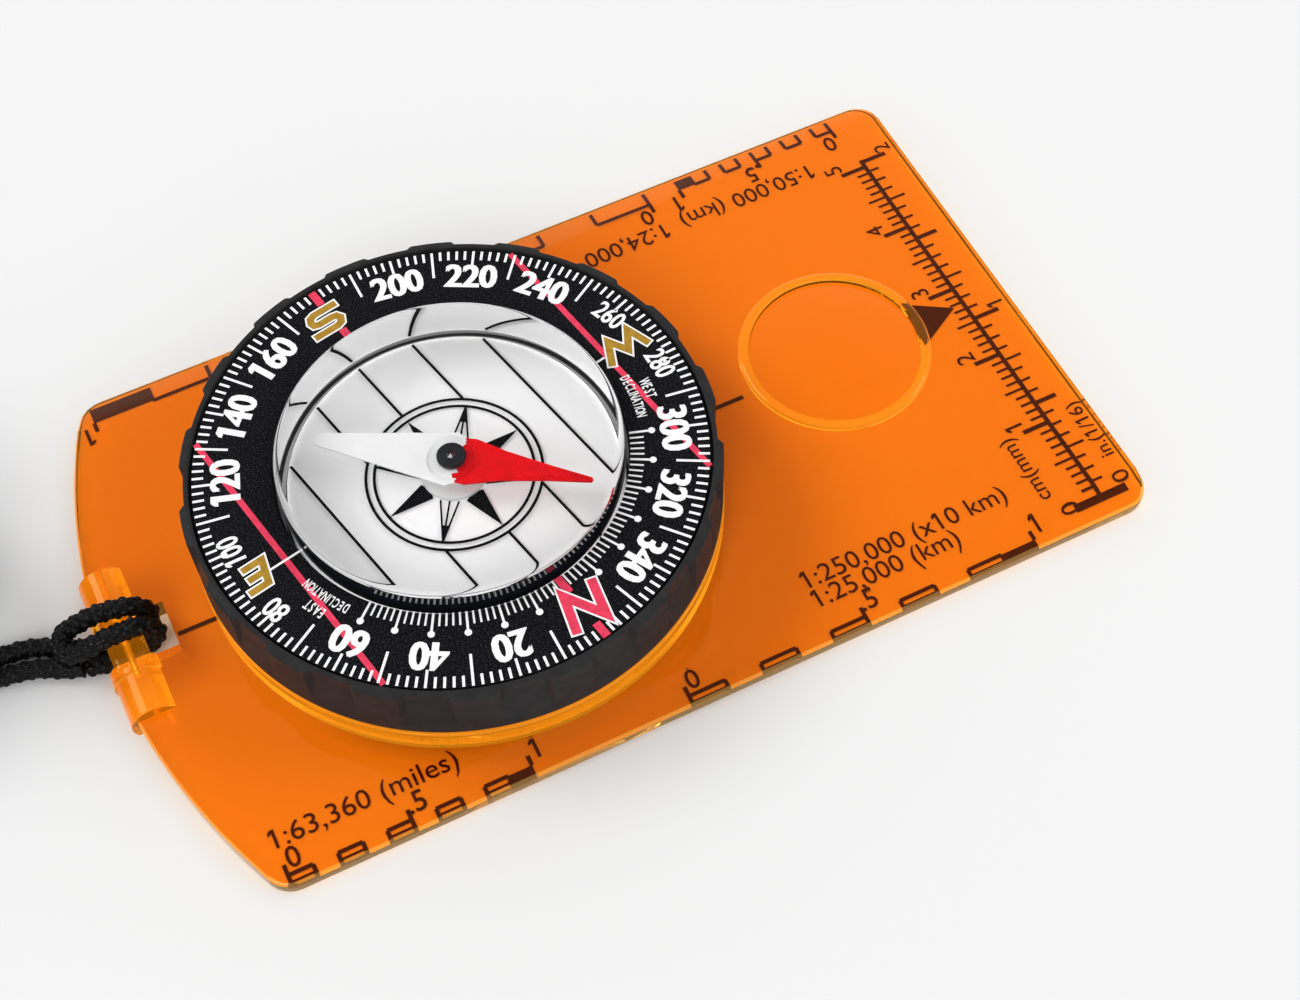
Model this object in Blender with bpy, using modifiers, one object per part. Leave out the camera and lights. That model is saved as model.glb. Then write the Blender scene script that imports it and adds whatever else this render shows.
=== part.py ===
"""A baseplate compass: an orange see-through plate with a turning black bezel, a clear capsule and a lanyard.

The origin is at the middle of the plate's underside. +Y is the direction of travel, toward the ruler end,
+X is to the right of it and +Z is up. Everything is in metres.
"""

import math

import bmesh
import bpy
from mathutils import Matrix, Vector

MM = 0.001
GAP = 0.3 * MM

# The plate.
PLATE_HALF_WIDTH = 30.9 * MM
PLATE_FRONT_Y = 52.25 * MM
PLATE_REAR_TIP_Y = -51.8 * MM
PLATE_THICK = 2.5 * MM
FRONT_CORNER_RADIUS = 2.6 * MM
REAR_CORNER_RADIUS = 3.0 * MM
REAR_ARC_RADIUS = 70.0 * MM
BEVEL_WIDTH = 3.6 * MM
BEVEL_DROP = 1.0 * MM

# The seat that the bezel turns on.
DIAL_Y = -13.0 * MM
SEAT_OUTER_RADIUS = 27.4 * MM
SEAT_TOP = 5.4 * MM
HOLE_RADIUS = 21.5 * MM
COUNTERBORE_RADIUS = 23.2 * MM
COUNTERBORE_TOP = 1.6 * MM

# The split ring that keeps the bezel in the plate.
RING_INNER_RADIUS = 20.75 * MM
RING_OUTER_RADIUS = 22.7 * MM
RING_THICK = 0.55 * MM
RING_SPLIT_HALF = 2.0 * MM

# The magnifier, moulded in the plate.
MAGNIFIER_Y = 31.3 * MM
MAGNIFIER_RADIUS = 10.5 * MM
MAGNIFIER_LENS_RADIUS = 9.3 * MM
MAGNIFIER_RIM_RISE = 0.55 * MM
MAGNIFIER_LENS_RISE = 1.1 * MM

# The lanyard bar and the barrels that hold it.
SLOT_X = -0.7 * MM
SLOT_HALF_WIDTH = 2.75 * MM
SLOT_INNER_Y = -44.7 * MM
BARREL_X = -0.3 * MM
BARREL_HALF_LENGTH = 8.8 * MM
BARREL_Y = -49.5 * MM
BARREL_Z = 1.25 * MM
BARREL_RADIUS = 2.55 * MM
COLLAR_RADIUS = 2.75 * MM
COLLAR_LENGTH = 1.7 * MM
BAR_HALF_DEPTH = 1.9 * MM
BAR_BOTTOM = 2.6 * MM
BAR_TOP = 4.0 * MM
PIN_Z = 3.2 * MM
PIN_RADIUS = 0.25 * MM
PIN_BORE_RADIUS = 0.35 * MM
PIN_HALF_LENGTH = 4.6 * MM

# The bezel.
NORTH_AZIMUTH = 78.4  # degrees clockwise from +Y, seen from above
BEZEL_TOP = 12.8 * MM
BEZEL_BOTTOM = SEAT_TOP + GAP
BEZEL_RADIUS = 26.75 * MM
LOBE_RADIUS = 27.2 * MM
LOBE_COUNT = 18
LOBE_DEGREES = 9.6
LOBE_RAMP_DEGREES = 0.9
BEZEL_FOOT = 0.15 * MM
BEZEL_WALL = 1.25 * MM
BEZEL_DECK_THICK = 1.1 * MM
BEZEL_LEDGE_THICK = 0.9 * MM
BEZEL_LEDGE_WIDTH = 1.4 * MM
GROOVE_DEPTH = 0.7 * MM
GROOVE_BOTTOM = 0.45 * MM
SKIRT_WALL = 1.8 * MM
DIAL_INNER_RADIUS = 18.0 * MM
DIAL_OUTER_RADIUS = 26.0 * MM
DIAL_TOP = 12.5 * MM
DIAL_THICK = 0.8 * MM

# The capsule.
CAPSULE_RADIUS = 17.4 * MM
CAPSULE_WALL = 1.0 * MM
CUP_BOTTOM = 3.9 * MM
CUP_FLOOR = 5.0 * MM
CUP_TOP = 13.7 * MM
LID_TOP = 15.1 * MM
LID_THICK = 1.0 * MM
POST_BASE_RADIUS = 3.4 * MM
POST_TOP = 8.6 * MM
PIVOT_RADIUS = 0.3 * MM
PIVOT_TIP = 10.1 * MM
PLUG_PLACE = 12.0 * MM
PLUG_HOLE_RADIUS = 1.1 * MM
LID_SPIGOT_DEPTH = 0.7 * MM
LID_SPIGOT_WALL = 0.8 * MM
ROSE_THICK = 0.2 * MM

# The needle.
RED_AZIMUTH = 36.6  # degrees clockwise from +Y, seen from above
NEEDLE_HALF_LENGTH = 14.5 * MM
NEEDLE_HALF_WIDTH = 3.2 * MM
NEEDLE_BOTTOM = 9.45 * MM
NEEDLE_THICK = 0.3 * MM
NEEDLE_HOLE_RADIUS = 1.3 * MM
CAP_RADIUS = 1.5 * MM
CAP_TOP = 11.1 * MM
CAP_BORE_RADIUS = 0.6 * MM
JEWEL_RADIUS = 0.42 * MM

# The lanyard.
CORD_RADIUS = 1.1 * MM
COIL_X = -17.0 * MM
COIL_Y = -76.5 * MM
COIL_INNER_TURN = 11.0 * MM
COIL_OUTER_TURN = 13.3 * MM
COIL_TOP = 12.6 * MM
COIL_FOOT = 0.1 * MM
KNOT_RADIUS = 2.7 * MM
TIE_WIDTH = 3.0 * MM
TIE_THICK = 0.6 * MM
TIE_AZIMUTH = 290.0  # degrees clockwise from +Y, seen from above

# The cord round the bar, from one free strand over the bar and back to the other.
HITCH_ROUTE = (
    (-2.70, -53.70, 1.25),
    (-2.20, -51.90, 1.20),
    (-2.28, -49.80, 1.20),
    (-2.25, -47.60, 1.45),
    (-2.30, -46.20, 3.20),
    (-2.50, -47.40, 5.15),
    (-2.85, -49.20, 5.50),
    (-3.25, -51.20, 5.25),
    (-3.60, -53.00, 4.40),
    (-3.55, -54.60, 3.85),
    (-2.30, -55.50, 3.75),
    (-1.00, -54.80, 3.85),
    (-0.45, -53.20, 4.40),
    (-0.20, -51.20, 5.25),
    (-0.05, -49.20, 5.50),
    (-0.05, -47.40, 5.15),
    (0.00, -46.20, 3.20),
    (0.05, -47.60, 1.45),
    (0.04, -49.80, 1.20),
    (0.05, -51.90, 1.20),
    (-0.34, -53.70, 1.25),
)
STRAND_A_ROUTE = (
    (-2.87, -54.15, 1.25),
    (-3.65, -55.70, 1.20),
    (-4.70, -57.40, 1.15),
    (-5.30, -59.40, 1.15),
    (-5.55, -61.60, 1.15),
    (-5.80, -63.60, 1.15),
    (-5.95, -65.40, 1.15),
)
STRAND_B_ROUTE = (
    (-0.47, -54.15, 1.25),
    (-1.20, -56.00, 1.20),
    (-2.30, -58.00, 1.15),
    (-2.90, -59.90, 1.15),
    (-3.22, -62.00, 1.15),
    (-3.45, -63.80, 1.15),
    (-3.62, -65.40, 1.15),
)

FINE_STEPS = 72
MEDIUM_STEPS = 48
SMALL_STEPS = 24


def clear_scene():
    for item in list(bpy.data.objects):
        bpy.data.objects.remove(item, do_unlink=True)


def make_collection(name):
    collection = bpy.data.collections.new(name)
    bpy.context.scene.collection.children.link(collection)
    return collection


def plastic(name, colour, roughness=0.4, metallic=0.0, alpha=1.0):
    material = bpy.data.materials.new(name)
    material.use_nodes = True
    shader = material.node_tree.nodes["Principled BSDF"]
    shader.inputs["Base Color"].default_value = (*colour, 1.0)
    shader.inputs["Roughness"].default_value = roughness
    shader.inputs["Metallic"].default_value = metallic
    shader.inputs["Alpha"].default_value = alpha
    return material


def place(item, collection, material=None, parent=None):
    """Puts a new object in its collection, under its parent's axis."""
    for home in list(item.users_collection):
        home.objects.unlink(item)
    collection.objects.link(item)
    item.parent = parent
    if material:
        item.data.materials.clear()
        item.data.materials.append(material)
    return item


def as_cutter(item):
    place(item, CUTTERS, parent=item.parent)
    item.hide_render = True
    item.display_type = "WIRE"
    return item


def smooth(item, degrees=35.0):
    item.data.shade_smooth()
    item.data.set_sharp_from_angle(angle=math.radians(degrees))


def turned(name, profile, steps=MEDIUM_STEPS):
    """A solid turned about its own Z from (radius, height) points, which run down its outer side."""
    mesh = bpy.data.meshes.new(name)
    shape = bmesh.new()
    points = [shape.verts.new((radius, 0.0, height)) for radius, height in profile]
    for start, end in zip(points, points[1:]):
        shape.edges.new((start, end))
    if profile[0][0] > 0.0:
        shape.edges.new((points[-1], points[0]))
    shape.to_mesh(mesh)
    shape.free()
    item = bpy.data.objects.new(name, mesh)
    PARTS.objects.link(item)
    screw = item.modifiers.new("turn", "SCREW")
    screw.steps = steps
    screw.render_steps = steps
    screw.use_merge_vertices = True
    screw.merge_threshold = 0.00001
    return item


def outline_curve(name, loops, thick):
    """A flat curve object of closed outlines, thick metres high about its own plane."""
    curve = bpy.data.curves.new(name, "CURVE")
    curve.dimensions = "2D"
    curve.fill_mode = "BOTH"
    curve.extrude = thick / 2.0
    for loop in loops:
        spline = curve.splines.new("POLY")
        spline.points.add(len(loop) - 1)
        for point, (x, y) in zip(spline.points, loop):
            point.co = (x, y, 0.0, 1.0)
        spline.use_cyclic_u = True
    item = bpy.data.objects.new(name, curve)
    PARTS.objects.link(item)
    return item


def curve_to_mesh(item):
    """A mesh object with the curve's shape, its caps welded, in the curve's place."""
    name, parent = item.name, item.parent
    bpy.context.view_layer.update()
    evaluated = item.evaluated_get(bpy.context.evaluated_depsgraph_get())
    mesh = bpy.data.meshes.new_from_object(evaluated)
    world = item.matrix_world.copy()
    bpy.data.objects.remove(item)
    shape = bmesh.new()
    shape.from_mesh(mesh)
    bmesh.ops.remove_doubles(shape, verts=shape.verts, dist=0.000001)
    bmesh.ops.recalc_face_normals(shape, faces=shape.faces)
    shape.to_mesh(mesh)
    shape.free()
    made = bpy.data.objects.new(name, mesh)
    PARTS.objects.link(made)
    made.parent = parent
    made.matrix_world = world
    return made


def extruded(name, loops, bottom, top):
    item = outline_curve(name, loops, top - bottom)
    item.location.z = (top + bottom) / 2.0
    return curve_to_mesh(item)


def box(name, low, high):
    bpy.ops.mesh.primitive_cube_add(size=1.0)
    item = bpy.context.object
    item.name = name
    centre = [(a + b) / 2.0 for a, b in zip(low, high)]
    size = [b - a for a, b in zip(low, high)]
    item.data.transform(Matrix.Translation(centre) @ Matrix.Diagonal((*size, 1.0)))
    return item


def small_cylinder(name, radius, low, high, sides=SMALL_STEPS):
    bpy.ops.mesh.primitive_cylinder_add(vertices=sides, radius=radius, depth=high - low)
    item = bpy.context.object
    item.name = name
    item.data.transform(Matrix.Translation((0.0, 0.0, (low + high) / 2.0)))
    return item


def rod_along_x(name, radius, x_from, x_to, y, z, sides=32):
    bpy.ops.mesh.primitive_cylinder_add(vertices=sides, radius=radius, depth=x_to - x_from)
    item = bpy.context.object
    item.name = name
    turn = Matrix.Rotation(math.radians(90.0), 4, "Y")
    item.data.transform(Matrix.Translation(((x_from + x_to) / 2.0, y, z)) @ turn)
    return item


def combine(item, other, operation):
    """A Boolean on the item, with the other one kept aside as a cutter."""
    as_cutter(other)
    change = item.modifiers.new(operation.lower() + "_" + other.name, "BOOLEAN")
    change.operation = operation
    change.object = other
    change.solver = "EXACT"


def circle_points(radius, count, centre=(0.0, 0.0)):
    turns = [2.0 * math.pi * i / count for i in range(count)]
    return [(centre[0] + radius * math.cos(a), centre[1] + radius * math.sin(a)) for a in turns]


def arc_points(centre, radius, start, end, count):
    """Points on an arc, from one angle to another in degrees, counted from +X."""
    angles = [math.radians(start + (end - start) * i / count) for i in range(count + 1)]
    return [(centre[0] + radius * math.cos(a), centre[1] + radius * math.sin(a)) for a in angles]


def plate_outline():
    """Straight sides, two round front corners and a rear edge that bows outward."""
    front = PLATE_FRONT_Y - FRONT_CORNER_RADIUS
    side = PLATE_HALF_WIDTH - FRONT_CORNER_RADIUS
    points = arc_points((side, front), FRONT_CORNER_RADIUS, 0.0, 90.0, 6)
    points += arc_points((-side, front), FRONT_CORNER_RADIUS, 90.0, 180.0, 6)
    arc_centre_y = PLATE_REAR_TIP_Y + REAR_ARC_RADIUS
    corner_x = PLATE_HALF_WIDTH - REAR_CORNER_RADIUS
    reach = REAR_ARC_RADIUS - REAR_CORNER_RADIUS
    corner_y = arc_centre_y - math.sqrt(reach**2 - corner_x**2)
    lean = math.degrees(math.asin(corner_x / reach))
    points += arc_points((-corner_x, corner_y), REAR_CORNER_RADIUS, 180.0, 270.0 - lean, 6)
    points += arc_points((0.0, arc_centre_y), REAR_ARC_RADIUS, 270.0 - lean, 270.0 + lean, 24)[1:-1]
    points += arc_points((corner_x, corner_y), REAR_CORNER_RADIUS, 270.0 + lean, 360.0, 6)
    return points


def bevel_cutter(name, side):
    """The wedge that a long edge's bevel leaves out. Side is 1 for the +X edge and -1 for the -X one."""
    over = 1.0 * MM
    slope = BEVEL_DROP / BEVEL_WIDTH
    inner = PLATE_HALF_WIDTH - BEVEL_WIDTH
    outer = PLATE_HALF_WIDTH + over
    section = (
        (inner, PLATE_THICK),
        (outer, PLATE_THICK - BEVEL_DROP - over * slope),
        (outer, PLATE_THICK + over),
        (inner, PLATE_THICK + over),
    )
    loop = [(side * x, z) for x, z in section]
    item = outline_curve(name, [loop], 2.2 * PLATE_FRONT_Y)
    item.rotation_euler = (math.radians(90.0), 0.0, 0.0)
    return curve_to_mesh(item)


def lanyard_barrel(name, side):
    """One barrel with its collar, beside the slot, cut flat a little above the plate's underside."""
    slot_end = SLOT_X + side * (SLOT_HALF_WIDTH - 0.05 * MM)
    length = abs(BARREL_X + side * BARREL_HALF_LENGTH - slot_end)
    barrel = turned(name, [(0.0, length), (BARREL_RADIUS, length), (BARREL_RADIUS, COLLAR_LENGTH),
                           (COLLAR_RADIUS, COLLAR_LENGTH), (COLLAR_RADIUS, 0.0), (0.0, 0.0)], 36)
    barrel.location = (slot_end, BARREL_Y, BARREL_Z)
    barrel.rotation_euler = (0.0, side * math.radians(90.0), 0.0)
    below = box(name + "_below", (-12.0 * MM, -55.0 * MM, -5.0 * MM), (12.0 * MM, -45.0 * MM, 0.02 * MM))
    combine(barrel, below, "DIFFERENCE")
    return barrel


def lanyard_bar():
    """The flat bar across the slot, round at its two long sides."""
    half_height = (BAR_TOP - BAR_BOTTOM) / 2.0
    straight = BAR_HALF_DEPTH - half_height
    loop = arc_points((straight, 0.0), half_height, -90.0, 90.0, 8)
    loop += arc_points((-straight, 0.0), half_height, 90.0, 270.0, 8)
    item = outline_curve("lanyard_bar", [loop], 2.0 * (SLOT_HALF_WIDTH + COLLAR_LENGTH / 2.0))
    item.rotation_euler = (math.radians(90.0), 0.0, math.radians(90.0))
    item.location = (SLOT_X, BARREL_Y, (BAR_TOP + BAR_BOTTOM) / 2.0)
    return curve_to_mesh(item)


def make_baseplate():
    plate = extruded("baseplate", [plate_outline()], 0.0, PLATE_THICK)
    for side, edge in ((1.0, "right"), (-1.0, "left")):
        combine(plate, bevel_cutter("bevel_" + edge, side), "DIFFERENCE")

    seat_foot = PLATE_THICK - 0.5 * MM
    seat = turned("seat", [(0.0, SEAT_TOP), (SEAT_OUTER_RADIUS, SEAT_TOP), (SEAT_OUTER_RADIUS, seat_foot),
                           (0.0, seat_foot)], FINE_STEPS)
    seat.location.y = DIAL_Y
    combine(plate, seat, "UNION")

    lens = []
    for i in range(7):
        radius = MAGNIFIER_LENS_RADIUS * i / 6.0
        drop = MAGNIFIER_LENS_RISE * (radius / MAGNIFIER_LENS_RADIUS) ** 2
        lens.append((radius, PLATE_THICK + MAGNIFIER_LENS_RISE - drop + 0.05 * MM))
    rim_top = PLATE_THICK + MAGNIFIER_RIM_RISE
    rim = [(MAGNIFIER_LENS_RADIUS + 0.15 * MM, rim_top), (MAGNIFIER_RADIUS - 0.2 * MM, rim_top),
           (MAGNIFIER_RADIUS, rim_top - 0.2 * MM), (MAGNIFIER_RADIUS, PLATE_THICK - 0.5 * MM),
           (0.0, PLATE_THICK - 0.5 * MM)]
    magnifier = turned("magnifier", lens + rim)
    magnifier.location.y = MAGNIFIER_Y
    combine(plate, magnifier, "UNION")

    hole = turned("hole", [(0.0, SEAT_TOP + MM), (HOLE_RADIUS, SEAT_TOP + MM), (HOLE_RADIUS, COUNTERBORE_TOP),
                           (COUNTERBORE_RADIUS, COUNTERBORE_TOP), (COUNTERBORE_RADIUS, -MM), (0.0, -MM)],
                  FINE_STEPS)
    hole.location.y = DIAL_Y
    hole.rotation_euler.z = math.pi / FINE_STEPS
    combine(plate, hole, "DIFFERENCE")

    notch = box("slot", (SLOT_X - SLOT_HALF_WIDTH, PLATE_REAR_TIP_Y - MM, -MM),
                (SLOT_X + SLOT_HALF_WIDTH, SLOT_INNER_Y, PLATE_THICK + MM))
    combine(plate, notch, "DIFFERENCE")
    combine(plate, lanyard_barrel("barrel_right", 1.0), "UNION")
    combine(plate, lanyard_barrel("barrel_left", -1.0), "UNION")
    combine(plate, lanyard_bar(), "UNION")

    bore_start = BARREL_X - BARREL_HALF_LENGTH - 2.0 * MM
    bore_end = SLOT_X + PIN_HALF_LENGTH + GAP
    bore = rod_along_x("pin_bore", PIN_BORE_RADIUS, bore_start, bore_end, BARREL_Y, PIN_Z, 12)
    combine(plate, bore, "DIFFERENCE")
    place(plate, PARTS, ORANGE)
    return plate


def make_lanyard_pin():
    start, end = SLOT_X - PIN_HALF_LENGTH, SLOT_X + PIN_HALF_LENGTH
    pin = rod_along_x("lanyard_pin", PIN_RADIUS, start, end, BARREL_Y, PIN_Z, 12)
    smooth(pin)
    place(pin, PARTS, STEEL)


def make_retaining_ring():
    """A split ring in the bezel's groove, under the plate's lip."""
    high = COUNTERBORE_TOP - GAP
    low = high - RING_THICK
    ring = turned("retaining_ring", [(RING_OUTER_RADIUS, high), (RING_OUTER_RADIUS, low),
                                     (RING_INNER_RADIUS, low), (RING_INNER_RADIUS, high)])
    ring.location.y = DIAL_Y
    split = box("ring_split", (-RING_SPLIT_HALF, DIAL_Y - RING_OUTER_RADIUS - MM, -MM),
                (RING_SPLIT_HALF, DIAL_Y - RING_INNER_RADIUS + MM, high + MM))
    combine(ring, split, "DIFFERENCE")
    place(ring, PARTS, BLACK)


def lobed_outline():
    """The grip's outline: lobes with short ramps, on a circle just inside the bezel's wall."""
    points = []
    pitch = 360.0 / LOBE_COUNT
    low = BEZEL_RADIUS - 0.15 * MM
    half = LOBE_DEGREES / 2.0
    for i in range(LOBE_COUNT):
        middle = pitch * (i + 0.5)
        points.append((middle - half - LOBE_RAMP_DEGREES, low))
        points += [(middle + half * step, LOBE_RADIUS) for step in (-1.0, 0.0, 1.0)]
        points.append((middle + half + LOBE_RAMP_DEGREES, low))
    return [(r * math.sin(math.radians(a)), r * math.cos(math.radians(a))) for a, r in points]


def make_bezel_ring(axis):
    seat_top = DIAL_TOP - DIAL_THICK - GAP
    deck_under = seat_top - BEZEL_DECK_THICK
    skirt = HOLE_RADIUS - GAP
    groove = skirt - GROOVE_DEPTH
    skirt_inner = skirt - SKIRT_WALL
    rim_inner = DIAL_OUTER_RADIUS + 0.25 * MM
    cup_bore = CAPSULE_RADIUS + 0.35 * MM
    ledge_inner = cup_bore - BEZEL_LEDGE_WIDTH
    ledge_top = CUP_BOTTOM - GAP
    ledge_under = ledge_top - BEZEL_LEDGE_THICK
    profile = [
        (rim_inner, BEZEL_TOP),
        (BEZEL_RADIUS - 0.15 * MM, BEZEL_TOP),
        (BEZEL_RADIUS, BEZEL_TOP - 0.15 * MM),
        (BEZEL_RADIUS, BEZEL_BOTTOM),
        (BEZEL_RADIUS - BEZEL_WALL, BEZEL_BOTTOM),
        (BEZEL_RADIUS - BEZEL_WALL, deck_under),
        (skirt + BEZEL_WALL, deck_under),
        (skirt + BEZEL_WALL, BEZEL_BOTTOM),
        (skirt, BEZEL_BOTTOM),
        (skirt, COUNTERBORE_TOP),
        (groove, COUNTERBORE_TOP),
        (groove, GROOVE_BOTTOM),
        (skirt, GROOVE_BOTTOM),
        (skirt, BEZEL_FOOT),
        (skirt_inner, BEZEL_FOOT),
        (skirt_inner, ledge_under),
        (ledge_inner, ledge_under),
        (ledge_inner, ledge_top),
        (cup_bore, ledge_top),
        (cup_bore, seat_top),
        (rim_inner, seat_top),
    ]
    ring = turned("bezel_ring", profile, FINE_STEPS)
    ring.parent = axis
    hole = circle_points(BEZEL_RADIUS - 0.3 * MM, FINE_STEPS)
    lobes = extruded("grip_lobes", [lobed_outline(), hole], BEZEL_BOTTOM + 0.2 * MM, BEZEL_TOP - 0.2 * MM)
    lobes.parent = axis
    combine(ring, lobes, "UNION")
    place(ring, PARTS, BLACK, axis)


def make_dial_ring(axis):
    low = DIAL_TOP - DIAL_THICK
    ring = turned("dial_ring", [(DIAL_OUTER_RADIUS, DIAL_TOP), (DIAL_OUTER_RADIUS, low),
                                (DIAL_INNER_RADIUS, low), (DIAL_INNER_RADIUS, DIAL_TOP)], FINE_STEPS)
    place(ring, PARTS, DIAL_BLACK, axis)


def make_capsule(axis):
    inner = CAPSULE_RADIUS - CAPSULE_WALL
    cup = turned("capsule_cup", [(0.0, CUP_FLOOR), (inner, CUP_FLOOR), (inner, CUP_TOP),
                                 (CAPSULE_RADIUS, CUP_TOP), (CAPSULE_RADIUS, CUP_BOTTOM + 0.4 * MM),
                                 (CAPSULE_RADIUS - 0.4 * MM, CUP_BOTTOM), (0.0, CUP_BOTTOM)])
    cup.parent = axis
    plug_hole = small_cylinder("plug_hole", PLUG_HOLE_RADIUS, CUP_BOTTOM - MM, CUP_FLOOR + MM)
    plug_hole.location.x = PLUG_PLACE
    plug_hole.parent = axis
    combine(cup, plug_hole, "DIFFERENCE")
    place(cup, PARTS, CLEAR, axis)

    plug = small_cylinder("fill_plug", PLUG_HOLE_RADIUS - GAP, CUP_BOTTOM + 0.05 * MM, CUP_FLOOR - 0.05 * MM)
    plug.location.x = PLUG_PLACE
    smooth(plug)
    place(plug, PARTS, WHITE, axis)

    seat = CUP_TOP + GAP
    spigot = inner - GAP
    spigot_foot = CUP_TOP - LID_SPIGOT_DEPTH
    well = spigot - LID_SPIGOT_WALL
    lid = turned("capsule_lid", [(0.0, LID_TOP), (CAPSULE_RADIUS - 0.5 * MM, LID_TOP),
                                 (CAPSULE_RADIUS, LID_TOP - 0.5 * MM), (CAPSULE_RADIUS, seat), (spigot, seat),
                                 (spigot, spigot_foot), (well, spigot_foot), (well, LID_TOP - LID_THICK),
                                 (0.0, LID_TOP - LID_THICK)])
    place(lid, PARTS, CLEAR, axis)


def make_capsule_floor(axis):
    low = CUP_FLOOR + GAP
    outer, inner = CAPSULE_RADIUS - CAPSULE_WALL - GAP, POST_BASE_RADIUS + GAP
    high = low + ROSE_THICK
    disc = turned("rose_disc", [(outer, high), (outer, low), (inner, low), (inner, high)])
    place(disc, PARTS, WHITE, axis)

    bore = PIVOT_RADIUS + 0.15 * MM
    post = turned("pivot_post", [(bore, POST_TOP), (1.0 * MM, POST_TOP), (1.3 * MM, low + 1.3 * MM),
                                 (POST_BASE_RADIUS, low + 0.9 * MM), (POST_BASE_RADIUS, low), (bore, low)],
                  SMALL_STEPS)
    place(post, PARTS, WHITE, axis)

    pin_foot = low + 0.2 * MM
    pin = turned("pivot_pin", [(0.0, PIVOT_TIP), (PIVOT_RADIUS, PIVOT_TIP - 0.9 * MM),
                               (PIVOT_RADIUS, pin_foot), (0.0, pin_foot)], 12)
    place(pin, PARTS, STEEL, axis)


def needle_outline():
    """A lozenge with round points. The red end, at +Y, is the sharper one."""
    points = [(NEEDLE_HALF_WIDTH, 0.0)]
    points += arc_points((0.0, NEEDLE_HALF_LENGTH - 0.25 * MM), 0.25 * MM, 12.0, 168.0, 4)
    points.append((-NEEDLE_HALF_WIDTH, 0.0))
    points += arc_points((0.0, 0.6 * MM - NEEDLE_HALF_LENGTH), 0.6 * MM, 192.0, 348.0, 6)
    return points


def make_needle(axis):
    hole = circle_points(NEEDLE_HOLE_RADIUS, SMALL_STEPS)
    outline = needle_outline()
    needle = extruded("needle", [outline, hole], NEEDLE_BOTTOM, NEEDLE_BOTTOM + NEEDLE_THICK)
    place(needle, PARTS, RED, axis)

    under = NEEDLE_BOTTOM + NEEDLE_THICK + GAP
    stem = NEEDLE_HOLE_RADIUS - GAP
    foot = NEEDLE_BOTTOM - 0.5 * MM
    cap = turned("hub_cap", [(0.0, CAP_TOP), (CAP_RADIUS - 0.35 * MM, CAP_TOP),
                             (CAP_RADIUS, CAP_TOP - 0.35 * MM), (CAP_RADIUS, under), (stem, under),
                             (stem, foot), (CAP_BORE_RADIUS, foot), (CAP_BORE_RADIUS, CAP_TOP - 0.3 * MM),
                             (0.0, CAP_TOP - 0.3 * MM)], SMALL_STEPS)
    place(cap, PARTS, BLACK, axis)

    jewel_top, jewel_foot = CAP_TOP - 0.4 * MM, PIVOT_TIP - 0.1 * MM
    jewel = turned("jewel_bearing", [(0.0, jewel_top), (JEWEL_RADIUS, jewel_top), (JEWEL_RADIUS, jewel_foot),
                                     (PIVOT_RADIUS, jewel_foot), (0.0, PIVOT_TIP + 0.2 * MM)], 12)
    place(jewel, PARTS, CLEAR, axis)


def smooth_route(route, spacing):
    """Points at an even spacing on a smooth curve through the route's own points."""
    ends = [Vector(point) * MM for point in route]
    ends = [2.0 * ends[0] - ends[1]] + ends + [2.0 * ends[-1] - ends[-2]]
    fine = []
    for a, b, c, d in zip(ends, ends[1:], ends[2:], ends[3:]):
        for i in range(20):
            t = i / 20.0
            fine.append(0.5 * (2.0 * b + (c - a) * t + (2.0 * a - 5.0 * b + 4.0 * c - d) * t**2
                               + (3.0 * b - a - 3.0 * c + d) * t**3))
    fine.append(ends[-2])
    points, left = [fine[0]], spacing
    for start, end in zip(fine, fine[1:]):
        run = (end - start).length
        while run >= left:
            start = start.lerp(end, left / run)
            points.append(start)
            run = (end - start).length
            left = spacing
        left -= run
    if (points[-1] - fine[-1]).length > spacing / 2.0:
        points.append(fine[-1])
    else:
        points[-1] = fine[-1]
    return points


def cord_tube(name, route, spacing):
    curve = bpy.data.curves.new(name, "CURVE")
    curve.dimensions = "3D"
    curve.bevel_depth = CORD_RADIUS
    curve.bevel_resolution = 2
    curve.use_fill_caps = True
    points = smooth_route(route, spacing)
    spline = curve.splines.new("POLY")
    spline.points.add(len(points) - 1)
    for target, point in zip(spline.points, points):
        target.co = (*point, 1.0)
    item = bpy.data.objects.new(name, curve)
    PARTS.objects.link(item)
    place(item, PARTS, CORD_BLACK)
    return item


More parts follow.
